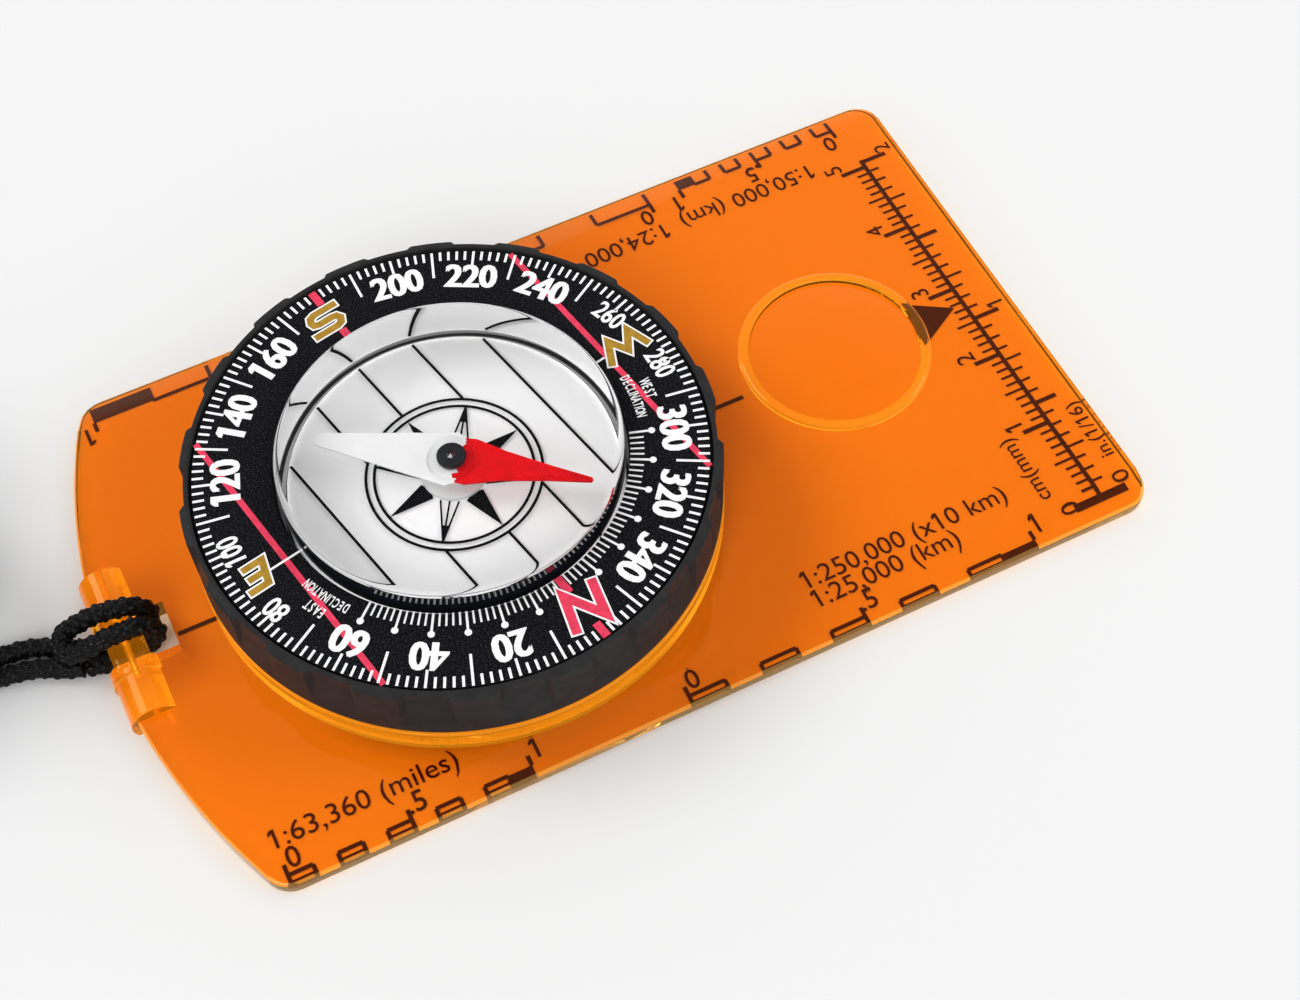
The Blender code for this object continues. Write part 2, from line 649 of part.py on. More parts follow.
def make_lanyard():
    cord_tube("lanyard_hitch", HITCH_ROUTE, 1.1 * MM)
    cord_tube("lanyard_strand_a", STRAND_A_ROUTE, 3.0 * MM)
    cord_tube("lanyard_strand_b", STRAND_B_ROUTE, 3.0 * MM)

    inner, outer = COIL_INNER_TURN - CORD_RADIUS, COIL_OUTER_TURN + CORD_RADIUS
    section = [(outer, COIL_TOP), (outer, COIL_FOOT), (inner, COIL_FOOT), (inner, COIL_TOP)]
    coil = turned("lanyard_coil", section)
    coil.location = (COIL_X, COIL_Y, 0.0)

    tie_turn = Matrix.Rotation(math.radians(-TIE_AZIMUTH), 4, "Z")
    middle = (inner + outer) / 2.0
    groove_half = TIE_WIDTH / 2.0 + GAP
    groove_top = TIE_THICK + 2.0 * GAP
    groove = box("tie_groove", (-groove_half, inner - MM, -MM), (groove_half, outer + MM, groove_top))
    groove.data.transform(Matrix.Translation((COIL_X, COIL_Y, 0.0)) @ tie_turn)
    combine(coil, groove, "DIFFERENCE")
    place(coil, PARTS, CORD_BLACK)

    half = (outer - inner) / 2.0 + GAP
    low, high = COIL_FOOT + TIE_THICK, COIL_TOP + GAP
    outside = [(-half - TIE_THICK, low - TIE_THICK), (half + TIE_THICK, low - TIE_THICK),
               (half + TIE_THICK, high + TIE_THICK), (-half - TIE_THICK, high + TIE_THICK)]
    inside = [(-half, low), (half, low), (half, high), (-half, high)]
    tie = outline_curve("coil_tie", [outside, inside], TIE_WIDTH)
    upright = Matrix.Rotation(math.radians(90.0), 4, "X")
    across = Matrix.Rotation(math.radians(90.0), 4, "Z")
    tie.matrix_world = (Matrix.Translation((COIL_X, COIL_Y, 0.0)) @ tie_turn
                        @ Matrix.Translation((0.0, middle, 0.0)) @ across @ upright)
    tie = curve_to_mesh(tie)
    place(tie, PARTS, BLACK)

    bpy.ops.mesh.primitive_uv_sphere_add(segments=16, ring_count=10, radius=KNOT_RADIUS)
    knot = bpy.context.object
    knot.name = "lanyard_knot"
    knot.data.transform(Matrix.Translation((COIL_X, COIL_Y, KNOT_RADIUS + COIL_FOOT)))
    smooth(knot)
    place(knot, PARTS, CORD_BLACK)


def make_axis(name, azimuth):
    """An empty on the dial's centre line, turned so that its +Y points at the azimuth."""
    axis = bpy.data.objects.new(name, None)
    PARTS.objects.link(axis)
    axis.location = (0.0, DIAL_Y, 0.0)
    axis.rotation_euler = (0.0, 0.0, math.radians(-azimuth))
    return axis


clear_scene()
PARTS = make_collection("baseplate_compass")
CUTTERS = make_collection("cutters")
CUTTERS.hide_render = True

ORANGE = plastic("orange_acrylic", (0.95, 0.25, 0.01), 0.08, 0.0, 0.75)
BLACK = plastic("black_plastic", (0.015, 0.015, 0.017), 0.35)
DIAL_BLACK = plastic("dial_black", (0.03, 0.03, 0.033), 0.7)
CLEAR = plastic("clear_acrylic", (0.95, 0.97, 1.0), 0.05, 0.0, 0.3)
WHITE = plastic("white_plastic", (0.85, 0.85, 0.85), 0.4)
RED = plastic("needle_red", (0.8, 0.02, 0.02), 0.4)
STEEL = plastic("steel", (0.6, 0.6, 0.62), 0.25, 1.0)
CORD_BLACK = plastic("cord_black", (0.01, 0.01, 0.012), 0.8)

bezel_axis = make_axis("bezel_axis", NORTH_AZIMUTH)
needle_axis = make_axis("needle_axis", RED_AZIMUTH)

make_baseplate()
make_lanyard_pin()
make_retaining_ring()
make_bezel_ring(bezel_axis)
make_dial_ring(bezel_axis)
make_capsule(bezel_axis)
make_capsule_floor(bezel_axis)
make_needle(needle_axis)
make_lanyard()
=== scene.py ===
"""The looks of a baseplate compass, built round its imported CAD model, in metres and in the model's frame."""

import math

import bmesh
import bpy
from mathutils import Matrix, Vector


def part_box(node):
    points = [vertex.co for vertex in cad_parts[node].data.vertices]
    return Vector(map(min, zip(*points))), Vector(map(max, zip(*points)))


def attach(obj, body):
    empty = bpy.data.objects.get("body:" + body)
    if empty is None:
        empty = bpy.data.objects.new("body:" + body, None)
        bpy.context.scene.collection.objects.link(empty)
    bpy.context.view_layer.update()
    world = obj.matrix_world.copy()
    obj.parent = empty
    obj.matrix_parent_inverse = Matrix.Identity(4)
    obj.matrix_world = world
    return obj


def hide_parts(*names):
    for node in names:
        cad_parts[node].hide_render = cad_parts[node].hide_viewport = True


MM = 0.001

# Camera.
CAMERA_AT = Vector((0.10833, -0.03966, 0.18059))
CAMERA_FORWARD = Vector((-0.47921, 0.21330, -0.85138))
CAMERA_UP = Vector((-0.76019, 0.38399, 0.52409))
CAMERA_LENS = 55.555
SENSOR_WIDTH = 36.0
CLIP_START = 5.0 * MM

# Light: the world's strength, and each far lamp's name, direction, softness in degrees and strength.
WORLD_AT_HORIZON = 1.0
WORLD_OVERHEAD = 0.55
LAMPS = (
    ("key", (-0.50, -0.52, 0.69), 28.0, 0.8),
    ("front", (0.55, -0.45, 0.70), 28.0, 0.65),
    ("fill", (0.30, 0.90, 0.60), 25.0, 0.5),
)
STUDIO_RADIUS = 3.0
STUDIO_DROP = 0.05 * MM

# Plate.
PLATE_HALF_WIDTH = 30.9 * MM
PLATE_FRONT_Y = 52.25 * MM
PLATE_REAR_TIP_Y = -51.8 * MM
PLATE_THICK = 2.5 * MM
PLATE_EDGE_RADIUS = 0.35 * MM
FRONT_CORNER_RADIUS = 2.6 * MM
REAR_CORNER_RADIUS = 3.0 * MM
REAR_ARC_RADIUS = 70.0 * MM
BEVEL_WIDTH = 3.6 * MM
BEVEL_DROP = 1.0 * MM
SLOT_X = -0.7 * MM
SLOT_HALF_WIDTH = 2.75 * MM
SLOT_INNER_Y = -44.7 * MM
BARREL_X = -0.3 * MM
BARREL_HALF_LENGTH = 8.8 * MM
BARREL_Y = -49.5 * MM
BARREL_Z = 1.25 * MM
BARREL_RADIUS = 2.55 * MM
COLLAR_RADIUS = 2.75 * MM
COLLAR_LENGTH = 1.7 * MM
BAR_HALF_DEPTH = 1.9 * MM
BAR_BOTTOM = 2.6 * MM
BAR_TOP = 4.0 * MM
PIN_Z = 3.2 * MM
PIN_BORE_RADIUS = 0.35 * MM
PIN_HALF_LENGTH = 4.6 * MM

# Dial, capsule and needle, about the dial's centre.
DIAL_Y = -13.0 * MM
NORTH_AZIMUTH = 78.4
RED_AZIMUTH = 36.6
ROSE_AZIMUTH = -2.0
SEAT_RADIUS = 27.4 * MM
SEAT_TOP = 5.4 * MM
HOLE_RADIUS = 21.5 * MM
COUNTERBORE_RADIUS = 23.2 * MM
COUNTERBORE_TOP = 1.6 * MM
MAGNIFIER_Y = 31.3 * MM
MAGNIFIER_RADIUS = 10.5 * MM
MAGNIFIER_LENS_RADIUS = 9.3 * MM
BEZEL_BOTTOM = 5.7 * MM
BEZEL_TOP = 12.8 * MM
BEZEL_RADIUS = 26.75 * MM
LOBE_RADIUS = 27.3 * MM
LOBE_COUNT = 18
LOBE_DEGREES = 9.6
LOBE_RAMP_DEGREES = 0.5
DIAL_TOP = 12.5 * MM
DIAL_THICK = 0.8 * MM
DIAL_INNER = 18.0 * MM
DIAL_OUTER = 26.0 * MM
CAPSULE_RADIUS = 17.4 * MM
CAPSULE_BOTTOM = 3.9 * MM
CAPSULE_TOP = 15.1 * MM
FLOOR_TOP = 5.5 * MM
FLOOR_RADIUS = 17.0 * MM
NEEDLE_BOTTOM = 9.45 * MM
NEEDLE_THICK = 0.3 * MM
NEEDLE_HALF_LENGTH = 14.5 * MM
NEEDLE_HALF_WIDTH = 3.2 * MM
CAP_TOP = 11.1 * MM
CAP_RADIUS = 1.5 * MM

# Dial and rose print. The small figures' radii and the meridians are in millimetres.
TICK_END = 25.9 * MM
SHORT_TICK_START = 24.75 * MM
MIDDLE_TICK_START = 24.0 * MM
LONG_TICK_START = 22.55 * MM
SCALE_START = 17.95 * MM
SCALE_SHORT_END = 19.35 * MM
SCALE_LONG_END = 20.1 * MM
SMALL_FIGURES = {80: 23.45, 100: 23.45, 260: 23.1, 280: 23.5}
ROSE_RINGS = (9.0 * MM, 8.15 * MM)
ROSE_TIP = 8.1 * MM
MERIDIANS = (-12.3, -6.1, 0.0, 6.1, 12.3)
MERIDIAN_REACH = 16.8
MERIDIAN_GAP = 9.1

# Print. The direction letters are strokes on the dial, in millimetres, with north up.
INK_LOW = 0.03 * MM
INK_HIGH = 0.06 * MM
SPINE_Y = 47.74 * MM
RULER_ZERO_X = 27.65 * MM
INCH = 25.4 * MM
# Each scale's inner line X, starting Y, tenth and label X, in millimetres, then each name and its place.
MAP_SCALES = (
    (29.2, -1.15, 4.0, 27.75),
    (29.0, -43.6, 2.54, 27.6),
    (-28.95, 46.86, 2.0, -27.4),
    (-28.55, 22.85, 6.706, -27.2),
)
MAP_SCALE_NAMES = (
    ("1:250,000 (x10 km)", 23.2, 14.7),
    ("1:25,000 (km)", 25.6, 14.7),
    ("1:63,360 (miles)", 25.3, -44.2),
    ("1:50,000 (km)", -24.8, 42.2),
    ("1:24,000", -24.6, 23.3),
)

NORTH_STROKES = (((-2.5, 20.05), (-1.35, 24.05), (0.75, 20.05), (2.1, 24.1)),)
EAST_STROKES = (
    ((23.6, -1.52), (21.35, -1.52), (22.15, 1.1), (24.3, 1.1)),
    ((21.8, -0.2), (23.65, -0.2)),
)
SOUTH_STROKES = ((
    (2.9, -20.65), (0.1, -20.65), (-0.45, -20.85), (-0.72, -21.4), (-0.45, -21.85), (0.0, -21.95),
    (1.6, -21.95), (2.08, -22.1), (2.2, -22.55), (1.95, -23.1), (1.4, -23.3), (-1.3, -23.3),
),)
WEST_STROKES = (((-23.95, 1.4), (-23.2, -1.35), (-21.75, 0.75), (-20.7, -1.35), (-19.2, 1.4)),)

# Lanyard.
CORD_RADIUS = 1.1 * MM
BRAID_CARRIERS = 5
BRAID_STEP = 1.35 * MM
BRAID_RELIEF = 0.38
COIL_CENTRE = Vector((-17.0, -76.5, 0.0)) * MM
COIL_INNER_TURN = 11.0 * MM
COIL_OUTER_TURN = 13.3 * MM
COIL_RISE = 2.42 * MM
CROSS_TURNS = 0.3
KNOT_TURNS = 1.1
CORD_LIE = 1.15 * MM
INNER_TURNS = 4.25
OUTER_TURNS = 4.75
KNOT_MIDDLE = 2.5 * MM
HITCH_ROUTE = (
    (-2.77, -53.98, 1.25), (-2.20, -51.90, 1.20), (-2.28, -49.80, 1.20),
    (-2.25, -47.60, 1.45), (-2.30, -46.20, 3.20), (-2.50, -47.40, 5.15),
    (-2.85, -49.20, 5.50), (-3.25, -51.20, 5.25), (-3.60, -53.00, 4.40),
    (-3.55, -54.60, 3.85), (-2.30, -55.50, 3.75), (-1.00, -54.80, 3.85),
    (-0.45, -53.20, 4.40), (-0.20, -51.20, 5.25), (-0.05, -49.20, 5.50),
    (-0.05, -47.40, 5.15), (0.00, -46.20, 3.20), (0.05, -47.60, 1.45),
    (0.04, -49.80, 1.20), (0.05, -51.90, 1.20), (-0.41, -53.98, 1.25),
)
STRAND_A_ROUTE = (
    (-2.87, -54.15, 1.25), (-3.65, -55.70, 1.20), (-4.70, -57.40, 1.15),
    (-5.30, -59.40, 1.15), (-5.55, -61.60, 1.15), (-5.80, -63.60, 1.15),
    (-5.95, -65.40, 1.15),
)
STRAND_B_ROUTE = (
    (-0.47, -54.15, 1.25), (-1.20, -56.00, 1.20), (-2.30, -58.00, 1.15),
    (-2.90, -59.90, 1.15), (-3.22, -62.00, 1.15), (-3.45, -63.80, 1.15),
    (-3.62, -65.40, 1.15),
)

# Each braided cord's spacing along its line and points round it, and the steps between a route's points.
HITCH_DETAIL = (0.12 * MM, 42)
KNOT_DETAIL = (0.2 * MM, 24)
STRAND_DETAIL = (0.24 * MM, 22)
ROUTE_STEPS = 20

# Steps round a turned shape.
BEZEL_STEPS = 720
FINE_STEPS = 192
MEDIUM_STEPS = 96
SMALL_STEPS = 48
LENS_STEPS = 128
BARREL_STEPS = 72
BORE_STEPS = 16


# --- Materials ---

SOCKETS = {
    "colour": "Base Color",
    "roughness": "Roughness",
    "metal": "Metallic",
    "ior": "IOR",
    "specular": "Specular IOR Level",
    "specular_tint": "Specular Tint",
    "through": "Transmission Weight",
    "coat": "Coat Weight",
    "coat_roughness": "Coat Roughness",
    "sheen": "Sheen Weight",
    "glow": "Emission Color",
    "glow_strength": "Emission Strength",
}


class Look:
    """A material with one Principled shader, and short ways to add nodes to it."""

    def __init__(self, name, **values):
        self.material = bpy.data.materials.new(name)
        self.material.use_nodes = True
        self.tree = self.material.node_tree
        self.shader = self.tree.nodes["Principled BSDF"]
        for key, value in values.items():
            colour = isinstance(value, tuple)
            self.shader.inputs[SOCKETS[key]].default_value = (*value, 1.0) if colour else value

    def add(self, kind, settings=None, **inputs):
        node = self.tree.nodes.new("ShaderNode" + kind)
        for key, value in (settings or {}).items():
            setattr(node, key, value)
        for key, value in inputs.items():
            socket = node.inputs[key.replace("_", " ")]
            if isinstance(value, bpy.types.NodeSocket):
                self.tree.links.new(value, socket)
            else:
                socket.default_value = value
        return node

    def link(self, output, key):
        self.tree.links.new(output, self.shader.inputs[SOCKETS[key]])

    def noise(self, scale, detail=2.0, roughness=0.5):
        place = self.add("TexCoord").outputs["Object"]
        return self.add("TexNoise", Vector=place, Scale=scale, Detail=detail, Roughness=roughness)

    def ramp(self, factor, *stops):
        """A colour ramp of (position, colour) stops."""
        node = self.add("ValToRGB", Fac=factor)
        elements = node.color_ramp.elements
        while len(elements) < len(stops):
            elements.new(0.5)
        for element, (position, colour) in zip(elements, stops):
            element.position = position
            element.color = (*colour, 1.0)
        return node.outputs["Color"]

    def mottle(self, scale, detail, *stops):
        """Uneven colour: noise of this scale through a ramp of (position, colour) stops."""
        self.link(self.ramp(self.noise(scale, detail).outputs["Fac"], *stops), "colour")

    def bump(self, height, strength, distance):
        node = self.add("Bump", Height=height, Strength=strength, Distance=distance)
        self.tree.links.new(node.outputs["Normal"], self.shader.inputs["Normal"])

    def let_light_through(self, tint=(1.0, 1.0, 1.0)):
        """Lamps light what is behind or inside this see-through material."""
        output = self.tree.nodes["Material Output"]
        path = self.add("LightPath")
        clear = self.add("BsdfTransparent", Color=(*tint, 1.0))
        mix = self.add("MixShader", Fac=path.outputs["Is Shadow Ray"])
        self.tree.links.new(self.shader.outputs["BSDF"], mix.inputs[1])
        self.tree.links.new(clear.outputs["BSDF"], mix.inputs[2])
        self.tree.links.new(mix.outputs["Shader"], output.inputs["Surface"])


def orange_acrylic():
    look = Look("orange_acrylic", colour=(0.97, 0.30, 0.008), roughness=0.02, ior=1.49, through=1.0,
                specular_tint=(1.0, 0.55, 0.2))
    look.let_light_through()
    look.bump(look.noise(90.0, 2.0).outputs["Fac"], 0.06, 0.4 * MM)
    return look.material


def orange_edge():
    """The same acrylic along the plate's outer edges, lighter, with a painted glow for the light it gathers
    there.
    """
    # Painted glow: the lighter colour and the emission light up the plate's edges.
    look = Look("orange_edge", colour=(1.0, 0.62, 0.10), roughness=0.05, ior=1.49, through=1.0,
                glow=(1.0, 0.55, 0.05), glow_strength=0.18)
    look.let_light_through()
    return look.material


def orange_rim(name="orange_rim", glow_strength=0.12):
    """The same acrylic on the magnifier's rim, the lanyard barrels and the bezel's seat, lighter and with a
    painted glow; the seat's stronger glow lifts the shade under the bezel.
    """
    # Painted glow: the emission brightens these rims, the barrels and the seat.
    look = Look(name, colour=(1.0, 0.46, 0.03), roughness=0.07, ior=1.49, through=1.0,
                specular_tint=(1.0, 0.6, 0.2), glow=(1.0, 0.36, 0.01), glow_strength=glow_strength)
    look.let_light_through()
    return look.material


def black_plastic(name="bezel_plastic"):
    look = Look(name, roughness=0.3, ior=1.5, specular=0.05)
    look.mottle(700.0, 4.0, (0.35, (0.022, 0.022, 0.023)), (0.7, (0.030, 0.030, 0.031)))
    rough = look.add("MapRange", Value=look.noise(260.0, 3.0).outputs["Fac"], To_Min=0.42, To_Max=0.5)
    look.link(rough.outputs["Result"], "roughness")
    look.bump(look.noise(2500.0, 2.0).outputs["Fac"], 0.12, 0.03 * MM)
    return look.material


def cap_plastic():
    return Look("cap_plastic", colour=(0.004, 0.005, 0.008), roughness=0.3, specular=0.25).material


def dial_plastic():
    """Matte black with a fine pale speckle."""
    look = Look("dial_plastic", roughness=0.6, ior=1.5, specular=0.05)
    grain = look.noise(5600.0, 2.0, 0.6)
    colour = look.ramp(grain.outputs["Fac"], (0.38, (0.002, 0.002, 0.003)), (0.54, (0.006, 0.006, 0.007)),
                       (0.70, (0.038, 0.037, 0.044)))
    look.link(colour, "colour")
    look.bump(grain.outputs["Fac"], 0.35, 0.03 * MM)
    return look.material


def printed(name, colour, patch=0.06, specular=0.08):
    """Screen-printed ink: a little uneven in colour."""
    look = Look(name, roughness=0.5, ior=1.45, specular=specular)
    pale = tuple(min(1.0, c * (1.0 + patch)) for c in colour)
    deep = tuple(c * (1.0 - patch) for c in colour)
    look.mottle(1500.0, 3.0, (0.35, deep), (0.65, pale))
    return look.material


def sleeve_black():
    # Painted dark reflection: glossy black for the dark band seen in the capsule's wall.
    look = Look("sleeve_black", colour=(0.008, 0.009, 0.014), roughness=0.06, ior=1.8, coat=1.0,
                coat_roughness=0.03)
    return look.material


def clear_acrylic():
    look = Look("clear_acrylic", colour=(1.0, 1.0, 1.0), roughness=0.0, ior=1.46, through=1.0,
                specular_tint=(0.25, 0.25, 0.25))
    look.let_light_through((0.98, 0.98, 0.98))
    return look.material


def white_plastic(name="white_plastic", colour=(0.86, 0.86, 0.86), glow=0.0):
    # The glow, where given, is a painted glow that brightens the part.
    look = Look(name, roughness=0.5, ior=1.5, specular=0.3, glow=(1.0, 1.0, 1.0), glow_strength=glow)
    deep = tuple(c * 0.96 for c in colour)
    look.mottle(300.0, 3.0, (0.3, deep), (0.7, colour))
    return look.material


def steel():
    # The yellowish emission is a painted highlight on the pins.
    look = Look("steel", colour=(0.75, 0.74, 0.70), roughness=0.22, metal=1.0, glow=(1.0, 0.85, 0.4),
                glow_strength=0.25)
    return look.material


def jewel_stone():
    return Look("jewel_stone", colour=(0.9, 0.9, 0.92), roughness=0.05, metal=1.0).material


def needle_red():
    look = Look("needle_red", roughness=0.5, ior=1.5, specular=0.05)
    look.mottle(1200.0, 3.0, (0.35, (0.68, 0.001, 0.004)), (0.65, (0.80, 0.002, 0.006)))
    return look.material


def cord_fibre():
    """Black braid: each lump has fine fibres along it, a few of them painted pale as glints."""
    look = Look("cord_fibre", roughness=0.42, specular=0.12)
    place = look.add("UVMap").outputs["UV"]
    fibres = look.add("TexNoise", Vector=place, Scale=9.0, Detail=3.0, Roughness=0.6)
    # The pale top stop paints glints onto the fibres.
    colour = look.ramp(fibres.outputs["Fac"], (0.42, (0.001, 0.001, 0.001)), (0.61, (0.003, 0.003, 0.003)),
                       (0.73, (0.2, 0.2, 0.21)))
    look.link(colour, "colour")
    look.bump(fibres.outputs["Fac"], 0.5, 0.06 * MM)
    return look.material


def tape_fibre():
    look = Look("tape_fibre", roughness=0.7, sheen=0.3)
    weave = look.add("TexWave", {"wave_type": "BANDS", "bands_direction": "DIAGONAL"},
                     Vector=look.add("TexCoord").outputs["Object"], Scale=900.0)
    colour = look.ramp(weave.outputs["Fac"], (0.2, (0.006, 0.006, 0.007)), (0.8, (0.022, 0.022, 0.024)))
    look.link(colour, "colour")
    look.bump(weave.outputs["Fac"], 0.4, 0.05 * MM)
    return look.material


# --- Mesh helpers ---


def linked(name, data):
    item = bpy.data.objects.new(name, data)
    bpy.context.scene.collection.objects.link(item)
    return item


def placed(name, mesh, material, body, sharp=32.0):
    """A new piece of the object, shaded smooth but for its sharp edges."""
    item = linked(name, mesh)
    for one in material if isinstance(material, list) else [material]:
        mesh.materials.append(one)
    if sharp:
        mesh.shade_smooth()
        mesh.set_sharp_from_angle(angle=math.radians(sharp))
        normals = item.modifiers.new("flat_faces", "WEIGHTED_NORMAL")
        normals.keep_sharp = True
    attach(item, body)
    return item


def mesh_of(name, shape):
    mesh = bpy.data.meshes.new(name)
    bmesh.ops.recalc_face_normals(shape, faces=shape.faces)
    shape.to_mesh(mesh)
    shape.free()
    return mesh


def bridge(shape, low, high):
    """Faces between two closed rows of vertices, as many in each."""
    faces = []
    for i in range(len(low)):
        j = (i + 1) % len(low)
        faces.append(shape.faces.new((low[i], low[j], high[j], high[i])))
    return faces


def rounded(profile, radius, segments=4):
    """The closed profile with its corners rounded, apart from those on the axis."""
    points = []
    count = len(profile)
    for i, corner in enumerate(profile):
        here = Vector(corner)
        before, after = Vector(profile[i - 1]), Vector(profile[(i + 1) % count])
        if here.x < 0.01 * MM:
            points.append(here)
            continue
        back, ahead = before - here, after - here
        turn = back.angle(ahead)
        reach = radius / math.tan(turn / 2.0)
        reach = min(reach, 0.45 * back.length, 0.45 * ahead.length)
        start, end = here + back.normalized() * reach, here + ahead.normalized() * reach
        for k in range(segments + 1):
            t = k / segments
            points.append((1 - t) ** 2 * start + 2 * t * (1 - t) * here + t**2 * end)
    return [tuple(point) for point in points]


def turned_shape(profile, steps=MEDIUM_STEPS, bulge=None, closed=True):
    """A bmesh turned about Z from (radius, height) points. Bulge gives the radius to add at an angle."""
    shape = bmesh.new()
    rows = []
    for radius, height in profile:
        if radius < 0.01 * MM:
            rows.append([shape.verts.new((0.0, 0.0, height))])
            continue
        row = []
        for i in range(steps):
            angle = 2.0 * math.pi * i / steps
            reach = radius + (bulge(angle, radius, height) if bulge else 0.0)
            row.append(shape.verts.new((reach * math.sin(angle), reach * math.cos(angle), height)))
        rows.append(row)
    pairs = list(zip(rows, rows[1:]))
    if closed and profile[0][0] > 0.01 * MM:
        pairs.append((rows[-1], rows[0]))
    for upper, lower in pairs:
        for i in range(steps):
            corners = [upper[i % len(upper)], upper[(i + 1) % len(upper)], lower[(i + 1) % len(lower)],
                       lower[i % len(lower)]]
            corners = list(dict.fromkeys(corners))
            if len(corners) > 2:
                shape.faces.new(corners)
    return shape


def turned(name, profile, material, body, place=None, steps=MEDIUM_STEPS, bulge=None):
    mesh = mesh_of(name, turned_shape(profile, steps, bulge))
    mesh.transform(place or Matrix.Identity(4))
    return placed(name, mesh, material, body)


def arc(centre, radius, start, end, count):
    """Points on an arc, from one angle to another in degrees, counted from +X."""
    angles = [math.radians(start + (end - start) * i / count) for i in range(count + 1)]
    return [(centre[0] + radius * math.cos(a), centre[1] + radius * math.sin(a)) for a in angles]


def combine(base, steps):
    """The base mesh after a row of exact Booleans, given as (operation, mesh)."""
    item = linked("boolean_base", base)
    others = []
    for i, (operation, mesh) in enumerate(steps):
        other = linked(f"boolean_{i}", mesh)
        change = item.modifiers.new(f"step_{i}", "BOOLEAN")
        change.operation = operation
        change.object = other
        change.solver = "EXACT"
        others.append(other)
    bpy.context.view_layer.update()
    evaluated = item.evaluated_get(bpy.context.evaluated_depsgraph_get())
    result = bpy.data.meshes.new_from_object(evaluated)
    for one in others + [item]:
        bpy.data.objects.remove(one, do_unlink=True)
    shape = bmesh.new()
    shape.from_mesh(result)
    bmesh.ops.remove_doubles(shape, verts=shape.verts, dist=0.002 * MM)
    bmesh.ops.dissolve_degenerate(shape, edges=shape.edges, dist=0.002 * MM)
    return mesh_of("combined", shape)


class Print:
    """Flat shapes gathered into one thin layer of ink, drawn in a plane of its own."""

    def __init__(self, low, high, plane=None):
        self.low = low
        self.high = high
        self.plane = plane or Matrix.Identity(4)
        self.shape = bmesh.new()
        self.made = 0

    def next_top(self):
        """The height for the next shape's face: a hair off its neighbours', as they may overlap."""
        self.made += 1
        return self.high - (self.made % 8) * 0.0008 * MM

    def polygon(self, points, turn=None):
        turn = self.plane @ (turn or Matrix.Identity(4))
        lower = [self.shape.verts.new(turn @ Vector((x, y, self.low))) for x, y in points]
        top = self.next_top()
        upper = [self.shape.verts.new(turn @ Vector((x, y, top))) for x, y in points]
        self.shape.faces.new(lower[::-1])
        self.shape.faces.new(upper)
        bridge(self.shape, lower, upper)

    def line(self, start, end, width, turn=None):
        start, end = Vector(start), Vector(end)
        side = Vector((start.y - end.y, end.x - start.x)).normalized() * width / 2.0
        self.polygon([start - side, end - side, end + side, start + side], turn)

    def stroke(self, points, width, turn=None, overrun=0.0):
        """A line of even width through the points, sharp-cornered, longer by the overrun at both ends."""
        points = [Vector(point) for point in points]
        points[0] = points[0] - (points[1] - points[0]).normalized() * overrun
        points[-1] = points[-1] + (points[-1] - points[-2]).normalized() * overrun
        ways = [(b - a).normalized() for a, b in zip(points, points[1:])]
        sides = []
        for here, back, ahead in zip(points, ways[:1] + ways, ways + ways[-1:]):
            normal = Vector((-(back + ahead).y, (back + ahead).x)).normalized()
            reach = width / 2.0 / max(0.35, normal.dot(Vector((-back.y, back.x))))
            sides.append((here - normal * reach, here + normal * reach))
        for (a, b), (c, d) in zip(sides, sides[1:]):
            self.polygon([a, c, d, b], turn)

    def ring(self, centre, radius, width, steps=MEDIUM_STEPS):
        """A full ring, as short straight pieces."""
        inner, outer = radius - width / 2.0, radius + width / 2.0
        for i in range(steps):
            a, b = 2.0 * math.pi * i / steps, 2.0 * math.pi * (i + 1) / steps
            self.polygon([(centre[0] + r * math.sin(t), centre[1] + r * math.cos(t))
                          for r, t in ((inner, a), (outer, a), (outer, b), (inner, b))])

    def disc(self, centre, radius, steps=16, turn=None):
        self.polygon(arc(centre, radius, 0.0, 360.0 - 360.0 / steps, steps - 1), turn)

    def words(self, text, turn, size, bold=0.0, squeeze=1.0, align="CENTER"):
        """Text in the built-in font. Its middle line lies on the turned X axis."""
        curve = bpy.data.curves.new("words", "FONT")
        curve.body = text
        curve.size = size
        curve.align_x = align
        curve.align_y = "CENTER"
        curve.offset = bold
        curve.resolution_u = 3
        curve.extrude = (self.high - self.low) / 2.0
        item = linked("words", curve)
        bpy.context.view_layer.update()
        mesh = bpy.data.meshes.new_from_object(item.evaluated_get(bpy.context.evaluated_depsgraph_get()))
        bpy.data.objects.remove(item, do_unlink=True)
        turn = turn @ Matrix.Diagonal((squeeze, 1.0, 1.0, 1.0))
        for left, top in plain_bars(mesh, size)[:text.count("1")]:
            flag = ((0.12, 0.0), (-0.03, 0.0), (-0.13, -0.10), (-0.13, -0.20), (0.02, -0.12))
            self.polygon([(left + x * size, top + y * size) for x, y in flag][::-1], turn)
        lift = Matrix.Translation((0.0, 0.0, self.next_top() - (self.high - self.low) / 2.0))
        mesh.transform(self.plane @ turn @ lift)
        self.shape.from_mesh(mesh)

    def finish(self, name, material, body):
        return placed(name, mesh_of(name, self.shape), material, body, sharp=None)


